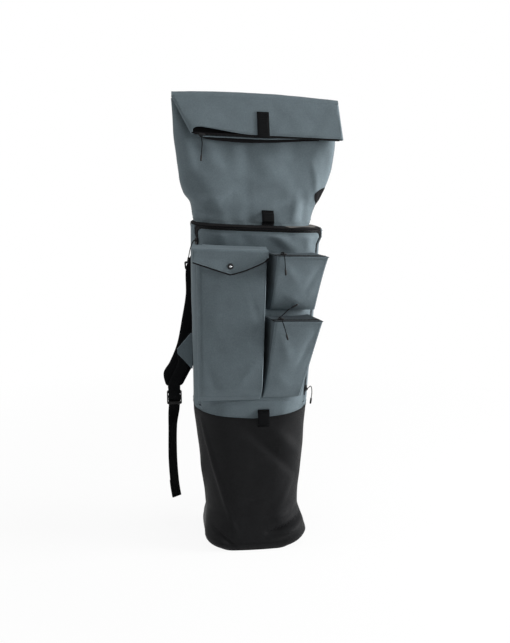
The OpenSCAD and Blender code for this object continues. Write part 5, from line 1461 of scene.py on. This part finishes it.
        def at(c, t, lift):
            x = mix(mix(left, self.bellows_left, t) + 0.0005, mix(right, panel_x, t) - 0.0005, c)
            back = b.raw(min(b.u_at(x, z), b.pocket_edge(z)), z, 0.0004).y
            dip = -0.0015 * math.sin(math.pi * c) * math.sin(math.pi * t) if t > 0.26 else 0
            return b.sag(x, mix(y + 0.001, back, t), z + MOUTH_RISE + lift + dip)
        grid = [[at(c, t, -0.0006) for c in steps(0, 1, 60)] for t in steps(0, 1, 30)]
        # Rows off the zip tape take the darker gusset grey as painted shade
        cloth(f"{name}_mouth_tape", grid, TAPE_T, [f"{name}_pocket_zip"], "front_panel",
              ["woven_tape", "gusset_cloth"], "zip_tape", slot_of=lambda i, j: 0 if 2 < i < 10 else 1)
        t0 = (chain - y - 0.001) / (self.bellows_depth - 0.001)
        line = []
        for c in steps(0.01, 0.99, 40):
            p = at(c, t0, 0)
            line.append(Vector((p.x, chain, p.z - 0.0003)))
        teeth(f"{name}_mouth_teeth", coil(line, Vector((0, 0, 1))), "front_panel")


class BACKPACK_OT_straps(Dress, bpy.types.Operator):
    """Back pad, shoulder pads, wings, webbing, keepers and haul loop"""
    bl_idname = "backpack.straps"
    bl_label = "Straps"

    # Ladder locks: drop below the pad, height, thickness, height of a bar and spread of the webbing in them
    lock_drop, lock_h, lock_t, bar_h, spread = 0.028, 0.032, 0.004, 0.005, 0.0018
    # Thickness of a wing, and width and thickness of the back pad
    wing_t = 0.004
    back_pad = (0.160, 0.011)
    # Thickness of the sewn ends of a shoulder pad, and overhang of the yoke beyond the straps
    pad_end, yoke_over = 0.005, 0.0135
    # Keepers: gap to the cloth, bulge, lengths at the rim and at the base, and rise of the rim's
    keeper_gap, keeper_bulge, rim_keeper_h, base_keeper_h, keeper_rise = 0.0006, 0.0065, 0.030, 0.038, 0.0155
    # Width and thickness of the haul loop
    haul_w, haul_t = 0.010, 0.0032
    # Route of the webbing through a lock, in lock heights, and of its tail, in tail lengths
    through = ((0, -0.28, 1.06), (0, -0.266, 0.5), (0, -0.22, 0.19), (0, -0.14, 0.03), (0, 0, -0.156),
               (0, 0.14, -0.33), (0, 0.2, -0.47), (-0.03, 0.22, -0.875))
    hanging = ((-0.02, 0.03, -0.3), (-0.025, 0.03, -0.6), (-0.012, 0.03, -0.85), (0.008, 0.025, -1))
    tail_turn = Vector((1, 0.8, 0))

    def execute(self, context):
        b = self.b = bag(context)
        s = b.s
        self.routes()
        self.back()
        for name in ("left", "right"):
            self.shoulder_pad(name)
            self.wing(name)
            self.lower_webbing(name)
            self.pad_loop(name)
            paint(f"ladder_lock_{name}", "moulded_plastic")
        paint("strap_clips", "moulded_plastic")
        half = s.spread + s.webbing / 2 + self.yoke_over
        grid = [[b.skin(b.half_girth(z) + c, z, LAID + YOKE) for c in steps(-half, half, 60)]
                for z in steps(b.strap_z - s.stand * 0.5, b.strap_z + s.stand * 0.41, 12)]
        cloth("strap_yoke_cloth", grid, YOKE, ["strap_yoke"], "bag", ["ribbed_webbing"], "webbing")
        self.keepers()
        self.haul_loop()
        return {"FINISHED"}

    def routes(self):
        """Middle lines of the shoulder pads and the places of their locks."""
        b, s = self.b, self.b.s
        side_x, y, top, low = b.width(b.wing_z) / 2, b.back_y, b.strap_z, b.wing_z
        start = y + LAID + YOKE + SEWN + self.pad_end / 2
        right_x = max(side_x * 0.71, self.back_pad[0] / 2 + 0.009)

        def z(t):
            return mix(top, low, t)

        def x(t):
            return mix(s.spread, right_x, t)
        self.pads = {
            "left": ([(-s.spread, start, top + 0.010), (-s.spread - s.pad * 0.24, start + 0.008, top - 0.014),
                      (-s.spread - s.pad * 0.70, y + s.stand * 0.82, z(0.27)),
                      (0.003 - side_x * 0.92, y + s.stand * 0.95, z(0.54)),
                      (0.003 - side_x, y + s.stand * 0.77, z(0.76)),
                      (-side_x - s.flare * 0.2, y + s.stand * 0.27, low + s.wing_h * 0.13),
                      (-side_x - s.flare * 0.54, y - s.stand * 0.5, low - s.wing_h * 0.35),
                      (-side_x - s.flare * 0.89, y - s.stand, low - s.wing_h * 0.67),
                      (-side_x - s.flare, y - s.stand * 1.05, low - s.wing_h * 1.03)],
                     [(1, 0, 0), (1, 0, 0), (1, 0, 0.1), (1, 0, 0.15), (1, 0.1, 0.15), (1, 0.25, 0.2),
                      (1, 0.2, 0.1), (1, 0.05, 0), (1, 0, 0)]),
            "right": ([(s.spread, start, top + 0.006), (s.spread + s.pad * 0.14, start + 0.008, top - 0.018),
                       (x(0.66), y + s.stand * 0.82, z(0.29)), (x(0.86), y + s.stand, z(0.56)),
                       (x(0.95), y + s.stand * 0.95, z(0.8)), (right_x, y + s.stand * 0.86, low),
                       (right_x, y + s.stand * 0.8, low - s.wing_h * 0.41),
                       (right_x, y + s.stand * 0.75, low - s.wing_h * 0.72),
                       (right_x, y + s.stand * 0.73, low - s.wing_h * 1.03)],
                      [(1, 0, 0), (1, 0, 0), (1, 0, -0.06), (1, 0, -0.04)] + [(1, 0, 0)] * 5)}
        self.locks = {k: Vector(p[-1]) - Vector((0, 0, self.lock_drop)) for k, (p, _) in self.pads.items()}
        self.wings = {"left": b.leg(low) - b.half_girth(low) + s.wing + 0.009,
                      "right": b.half_girth(low) - right_x + 0.001}

    def back(self):
        """Quilted pad on the back."""
        b = self.b
        low, high = b.seam_z + 0.035, b.rim_z - 0.058
        wide, thick = self.back_pad

        def rise(c, r):
            """Height of the foam, pressed in along the lines of the quilting."""
            quilt = 0
            for at, lines, half in ((c, (-0.34, 0.34), 0.045), (r, (0.25, 0.5, 0.75), 0.02)):
                for line in lines:
                    quilt += 0.45 * math.exp(-((at - line) / half) ** 2)
            crown = 0.35 + 0.65 * (1 - abs(c) ** 8) * (1 - abs(2 * r - 1) ** 10)
            return thick * crown * (1 - min(0.5, quilt))

        def at(c, r, lift):
            z = mix(low, high, r)
            return b.skin(b.half_girth(z) + c * wide / 2, z, LAID + lift)
        grid = [[at(c, r, rise(c, r)) for c in steps(-1, 1, 90)] for r in steps(0, 1, 130)]
        obj = cloth("back_pad_mesh", grid, 0.0035, ["back_pad"], "bag", ["pad_mesh"], "foam_mesh")
        edge = [(c, 0) for c in steps(-1, 1, 40)] + [(1, r) for r in steps(0, 1, 60)]
        edge += [(c, 1) for c in steps(1, -1, 40)] + [(-1, r) for r in steps(1, 0, 60)]
        bind("back_pad_binding", [[at(c, r, 0.002) for c, r in edge]], 0.0018, "ribbed_webbing")

    def shoulder_pad(self, name):
        """Foam pad, quilted along its length, with bound edges."""
        s = self.b.s
        points, across = self.pads[name]
        web, pad = s.webbing, s.pad
        wides = [web + 0.009, pad * 0.8, pad, pad, pad, pad, pad, pad * 0.9, web + 0.007]
        thicks = [self.pad_end] + [s.pad_t] * 7 + [self.pad_end]

        def value(knots, t):
            return bend([(v, 0, 0) for v in knots], t).x

        def profile(t):
            half, thick = value(wides, t) / 2, value(thicks, t)
            half *= 0.6 + 0.4 * math.sqrt(1 - max(0, 1 - (1 - t) / 0.03) ** 2)
            ups = []
            for k in steps(-1, 1, 16):
                quilt = 0.16 * math.exp(-((abs(k) - 0.62) / 0.06) ** 2)
                h = mix(0.004, thick, 1 - abs(k) ** 4) / 2 * (1 - quilt)
                ups.append((half * k, h))
            return ups + [(a, -h) for a, h in ups[::-1]]
        line = route(points, 110)
        ways = [Vector(a) for a in across]
        obj = place(sweep(f"shoulder_pad_{name}_mesh", line, ways, profile), "bag", ["pad_mesh"],
                    [f"shoulder_pad_{name}"])
        n = len(line) - 1
        edges = [[at + bend(ways, i / n).normalized() * k * profile(i / n)[-1][0]
                  for i, at in enumerate(line)] for k in (-1, 1)]
        bind(f"shoulder_pad_{name}_binding", edges, 0.0023, "ribbed_webbing")

    def wing(self, name):
        """Stiff cloth wing that carries the lower end of a strap."""
        b, u = self.b, self.wings[name]
        n = b.out(u, b.wing_z)
        t = Vector((-n.y, n.x, 0))
        high = b.s.wing_h
        corners = [(-0.49, 0), (-0.26, 0.52), (-0.05, 1), (0.05, 1), (0.28, 0.52), (0.51, 0)]
        rows = [bend([(r * high, k, 0) for r, k in corners], q) for q in steps(0, 1, 30)]
        least = 0.003

        def at(r, share):
            reach = LAID + share * (least + max(0, min(1, r.y)) * (b.s.wing - least))
            return b.skin(u, b.wing_z + r.x, reach) - t * self.wing_t / 2
        grid = [[at(r, share) for share in steps(0, 1, 16)] for r in rows]
        cloth(f"wing_{name}_cloth", grid, self.wing_t, [f"strap_wing_{name}"])

    def wing_face(self, u, drop, gap):
        """Place of the webbing on the face of a wing."""
        b, s = self.b, self.b.s
        n = b.out(u, b.wing_z)
        off = self.wing_t / 2 + LAID + s.webbing_t / 2 + gap
        return b.skin(u, b.wing_z - drop, s.wing - s.webbing / 2) + side(u) * Vector((-n.y, n.x, 0)) * off

    def lower_webbing(self, name):
        """Webbing from the wing, through the lock, and down as a tail with a folded end."""
        b, s = self.b, self.b.s
        u, lock = self.wings[name], self.locks[name]
        through = [Vector(p) * self.lock_h for p in self.through] + [Vector(p) * s.tail for p in self.hanging]
        drops = ((-0.08, 0.0003), (0.15, 0.0008), (0.38, 0.003))
        points = [self.wing_face(u, k * s.wing_h, gap) for k, gap in drops] + [lock + p for p in through]
        n = side(u) * b.out(u, b.wing_z)
        in_lock = len(self.through)
        ways = [n, n, n + ACROSS] + [ACROSS if k < in_lock else self.tail_turn for k in range(len(through))]
        line = route(points, 150)

        def wide(t):
            """Width of the webbing, which is spread a little in its lock."""
            return s.webbing + self.spread * math.exp(-((t - 0.45) / 0.12) ** 4)
        belt(f"lower_webbing_{name}_strap", line, ways, wide, s.webbing_t, [f"lower_webbing_{name}"])
        behind = Vector((-self.tail_turn.y, self.tail_turn.x, 0)).normalized() * s.webbing_t * 1.02
        back = [line[k] + behind for k in range(-1, -14, -2)]
        belt(f"tail_{name}_fold", back, [self.tail_turn] * 2, s.webbing, s.webbing_t)

    def pad_loop(self, name):
        """Webbing loop that holds the upper bar of a lock to its pad."""
        s, lock = self.b.s, self.locks[name]
        y = self.lock_t / 2 + 0.0006 + s.webbing_t / 2
        end_y = self.pad_end / 2 + 0.0009 + s.webbing_t / 2
        low = self.lock_h / 2 - self.bar_h - 0.001 - s.webbing_t / 2
        half = [(end_y, self.lock_drop + 0.006), (end_y, self.lock_drop - 0.002), (y, self.lock_h / 2),
                (y, low + 0.0025), (y * 0.7, low + 0.0007)]
        points = half + [(0, low)] + [(-a, z) for a, z in half[::-1]]
        belt(f"pad_loop_{name}_strap", [lock + Vector((0, a, z)) for a, z in points], [ACROSS] * 2,
             s.webbing + self.spread, s.webbing_t, [f"pad_loop_{name}"])

    def keepers(self):
        """Folded webbing tabs at the rim and at the base seam."""
        b, s = self.b, self.b.s
        rim_z = s.collar_foot[2] + self.keeper_rise
        gap, half = self.keeper_gap, 0.010

        def front(z):
            return -b.collars[1](z) / 2
        slope = (front(rim_z + 0.014) - front(rim_z - 0.014)) / 0.028
        rim = ("rim_keeper", s.tab + 0.005, front(rim_z) - gap, rim_z, self.rim_keeper_h, slope)
        base = ("base_keeper", s.tab + 0.007, -s.seam[1] / 2 - gap, b.seam_z, self.base_keeper_h, 0)
        for name, x, y, z, h, tilt in (rim, base):
            low_end = [(-h / 2, 0), (-h / 2 + 0.004, 0.02), (-h / 2 + 0.007, 0.7), (-h / 2 + 0.010, 1)]
            spots = low_end + [(-p, k) for p, k in low_end[::-1]]
            line = [b.sag(x, y - k * self.keeper_bulge - s.webbing_t / 2 + tilt * p, z + p) for p, k in spots]
            way = Vector((1, 0, -math.tan(s.slouch) * b.ramp(z)))
            belt(f"{name}_strap", route(line, 48), [way] * 2, s.webbing, s.webbing_t, [name])
            rows = []
            for at in (z + (h / 2 - 0.0025), z - (h / 2 - 0.0025)):
                row = [b.sag(x + dx, y - s.webbing_t + tilt * (at - z), at) for dx in steps(-half, half, 8)]
                rows.append((row, [FRONT]))
            sew(f"{name}_stitches", rows, thread="black_thread")

    def haul_loop(self):
        """Narrow webbing loop that hangs from the yoke."""
        b = self.b
        y, z = b.back_y + LAID + YOKE + 0.0025, b.strap_z + 0.006
        arms = [(0.486, 0, 0), (0.457, 0.043, -0.17), (0.343, 0.17, -0.457)]
        points = [(-a, c, d) for a, c, d in arms] + [(0, 0.23, -0.6)] + arms[::-1]
        line = [Vector((0, y, z)) + p * b.s.spread for p in route(points, 60)]
        n = len(line) - 1
        ways = []
        for i in range(n + 1):
            t = (line[min(n, i + 1)] - line[max(0, i - 1)]).normalized()
            ways.append(Vector((0, 1, 0)).cross(t).normalized())
        belt("haul_loop_strap", line, ways, self.haul_w, self.haul_t, ["haul_loop"], "haul_loop")


class BACKPACK_OT_pulls(Dress, bpy.types.Operator):
    """Zip sliders with their cord pulls and moulded tips"""
    bl_idname = "backpack.pulls"
    bl_label = "Pulls"

    # Cord routes from under the bail to the tip, as steps from the place of each slider
    routes = {
        "roll": ((0, 0.0017, -0.0047), (0, -0.0012, -0.0038), (0, -0.004, -0.0032), (0, -0.008, -0.007),
                 (0.001, -0.011, -0.018), (0, -0.014, -0.030), (-0.001, -0.016, -0.041)),
        "left": ((-0.0018, -0.0046, 0), (-0.0034, -0.0021, 0), (-0.005, 0.0004, 0), (-0.009, 0, -0.004),
                 (-0.013, -0.002, -0.013), (-0.016, -0.005, -0.024), (-0.018, -0.007, -0.034)),
        "right": ((0.0018, -0.0046, 0), (0.0034, -0.0021, 0), (0.005, 0.0004, 0), (0.008, 0.0005, 0.002),
                  (0.011, -0.002, 0.006), (0.013, -0.006, 0.004), (0.0135, -0.009, -0.006),
                  (0.012, -0.010, -0.018)),
        "upper": ((0, 0.003, 0.004), (0, -0.002, 0.004), (0, -0.009, 0.004), (0.001, -0.016, 0),
                  (0.002, -0.018, -0.012), (0.003, -0.018, -0.026)),
        "lower_one": ((0, 0.0002, 0.004), (0, 0.003, 0.004), (0.004, 0.008, 0.006), (0.011, 0.012, 0.011),
                      (0.020, 0.016, 0.018), (0.028, 0.018, 0.022)),
        "lower_two": ((0, -0.0002, 0.004), (0, -0.004, 0.004), (0, -0.010, 0.004), (0.002, -0.016, 0),
                      (0.006, -0.0185, -0.012), (0.010, -0.0185, -0.026)),
    }
    # Places of the sliders: below the rim, above the hinge, in from the end of the roll flap, along a pocket
    rim_drop, hinge_rise, flap_in, pocket_x = 0.023, 0.050, 0.022, 0.041

    def execute(self, context):
        b = bag(context)
        s = b.s
        high, low = b.rim_z - self.rim_drop, b.hinge_z + self.hinge_rise
        pockets = BACKPACK_OT_pockets

        def mouth(top):
            y = -b.depth(top) / 2 - pockets.bellows_depth + CHAIN_IN
            return b.sag(self.pocket_x, y, top + MOUTH_RISE)
        at = {
            "roll": b.hang(b.flap_left(s.flap_drop) + self.flap_in, (b.near + b.far) / 2,
                           s.flap_drop + ROLL_ZIP_DROP),
            "left": b.skin(-b.leg(high), high),
            "right": b.skin(b.leg(low), low),
            "upper": mouth(pockets.upper[1]),
            "lower": mouth(pockets.lower[1])}
        for name in at:
            paint(f"{name}_slider", "black_slider")
        for name, points in self.routes.items():
            slider, *which = name.split("_")
            cord, tip = ("_".join([slider, kind, *which]) for kind in ("cord", "tip"))
            self.pull(s, cord, tip, f"{slider}_slider", at[slider], points)
        return {"FINISHED"}

    def pull(self, s, cord, tip, body, at, offsets):
        """A braided cord on a smooth curve, ending in its moulded tip."""
        points = route([at + Vector(p) for p in offsets], 24)
        curve = bpy.data.curves.new(f"{cord}_braid", "CURVE")
        curve.dimensions = "3D"
        curve.bevel_depth = s.cord / 2
        curve.bevel_resolution = 3
        curve.use_fill_caps = True
        line = curve.splines.new("POLY")
        line.points.add(len(points) - 1)
        for spot, p in zip(line.points, points):
            spot.co = (*p, 1)
        obj = link(curve, ["braided_cord"])
        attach(obj, body)
        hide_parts(cord)
        paint(tip, "moulded_plastic")


class BACKPACK_OT_stage(Dress, bpy.types.Operator):
    """Pale floor, soft light and the camera"""
    bl_idname = "backpack.stage"
    bl_label = "Stage"

    def execute(self, context):
        scene = context.scene
        look = scene.backpack_stage
        scene.view_settings.view_transform = "Standard"
        self.camera(scene, look)
        self.floor(scene.backpack_colours)
        self.world(scene, look.room)
        self.lamp("right_light", (2.6, -0.55, 1.1), 1.2, look.right)
        self.lamp("left_light", (-2.5, -0.2, 1.0), 1.2, look.left)
        self.lamp("top_light", (0.1, -0.5, 2.9), 0.9, look.top)
        self.lamp("low_light", (2.4, -0.7, 0.12), 0.8, look.low)
        return {"FINISHED"}

    @staticmethod
    def aim(eye, target):
        """Turn of a camera or lamp that looks from one place to another."""
        return (Vector(target) - Vector(eye)).to_track_quat("-Z", "Y").to_euler()

    def camera(self, scene, look):
        data = bpy.data.cameras.new("camera")
        data.lens, data.sensor_width = look.lens, 36.0
        data.dof.use_dof = False
        scene.camera = link(data)
        scene.camera.location = look.eye
        scene.camera.rotation_euler = self.aim(look.eye, look.target)

    @staticmethod
    def seen_directly(tree):
        """One where the backdrop is seen by the camera, in a reflection or through glass."""
        path = node(tree, "ShaderNodeLightPath")
        total = path.outputs["Is Camera Ray"]
        for ray in ("Is Glossy Ray", "Is Transmission Ray"):
            both = node(tree, "ShaderNodeMath", operation="MAXIMUM")
            tree.links.new(total, both.inputs[0])
            tree.links.new(path.outputs[ray], both.inputs[1])
            total = both.outputs[0]
        return total

    @staticmethod
    def show(tree, share, first, second, output):
        """Mix two shaders and lead them to the output."""
        both = node(tree, "ShaderNodeMixShader")
        for k, socket in enumerate((share, first.outputs[0], second.outputs[0])):
            tree.links.new(socket, both.inputs[k])
        tree.links.new(both.outputs[0], tree.nodes[output].inputs["Surface"])

    def floor(self, colours):
        m = bpy.data.materials.new("paper_floor")
        m.use_nodes = True
        t = m.node_tree
        shader = t.nodes["Principled BSDF"]
        shader.inputs["Base Color"].default_value = [*colours.paper, 1]
        shader.inputs["Roughness"].default_value = 0.9
        shader.inputs["Specular IOR Level"].default_value = 0.0
        glow = node(t, "ShaderNodeEmission", Color=(1, 1, 1, 1), Strength=1.0)
        away = node(t, "ShaderNodeVectorMath", operation="LENGTH", Vector=coordinates(t))
        fade = node(t, "ShaderNodeMapRange", Value=away.outputs["Value"], From_Min=0.5, From_Max=1.6,
                    To_Min=0.92, To_Max=1.0)
        share = node(t, "ShaderNodeMath", operation="MULTIPLY")
        t.links.new(self.seen_directly(t), share.inputs[0])
        t.links.new(fade.outputs["Result"], share.inputs[1])
        self.show(t, share.outputs[0], shader, glow, "Material Output")
        reach = 6.0
        mesh = bpy.data.meshes.new("floor")
        mesh.from_pydata([(-reach, -reach, 0), (reach, -reach, 0), (reach, reach, 0), (-reach, reach, 0)], [],
                         [(0, 1, 2, 3)])
        mesh.materials.append(m)
        link(mesh)

    def world(self, scene, strength):
        world = bpy.data.worlds.new("soft_room")
        scene.world = world
        world.use_nodes = True
        t = world.node_tree
        back = t.nodes["Background"]
        room = node(t, "ShaderNodeBackground", Color=(1, 1, 1, 1), Strength=strength)
        back.inputs["Color"].default_value, back.inputs["Strength"].default_value = (1, 1, 1, 1), 1.0
        self.show(t, self.seen_directly(t), room, back, "World Output")

    def lamp(self, name, at, wide, power):
        data = bpy.data.lights.new(name, "AREA")
        data.shape, data.size, data.energy = "DISK", wide, power
        obj = link(data)
        obj.location = at
        obj.rotation_euler = self.aim(at, (0, 0, 0.5))


PIECES = (BACKPACK_OT_base, BACKPACK_OT_panels, BACKPACK_OT_collar, BACKPACK_OT_roll_flap,
          BACKPACK_OT_main_zip, BACKPACK_OT_pockets, BACKPACK_OT_straps, BACKPACK_OT_pulls, BACKPACK_OT_stage)
GROUPS = {"backpack_shape": BackpackShape, "backpack_colours": BackpackColours,
          "backpack_stage": BackpackStage}


class BACKPACK_PT_sidebar(bpy.types.Panel):
    """Lists the pieces of the backpack"""
    bl_label = "Backpack"
    bl_idname = "BACKPACK_PT_sidebar"
    bl_space_type = "VIEW_3D"
    bl_region_type = "UI"
    bl_category = "Backpack"

    def draw(self, context):
        column = self.layout.column()
        for piece in PIECES:
            column.operator(piece.bl_idname)
        for key, kind in GROUPS.items():
            for name in kind.__annotations__:
                column.prop(getattr(context.scene, key), name)


def register():
    for cls in (*GROUPS.values(), *PIECES, BACKPACK_PT_sidebar):
        bpy.utils.register_class(cls)
    for name, cls in GROUPS.items():
        setattr(bpy.types.Scene, name, bpy.props.PointerProperty(type=cls))


def unregister():
    for name in GROUPS:
        delattr(bpy.types.Scene, name)
    for cls in (BACKPACK_PT_sidebar, *reversed(PIECES), *GROUPS.values()):
        bpy.utils.unregister_class(cls)


def main():
    register()
    for piece in PIECES:
        group, name = piece.bl_idname.split(".")
        getattr(getattr(bpy.ops, group), name)()


if __name__ == "__main__":
    main()
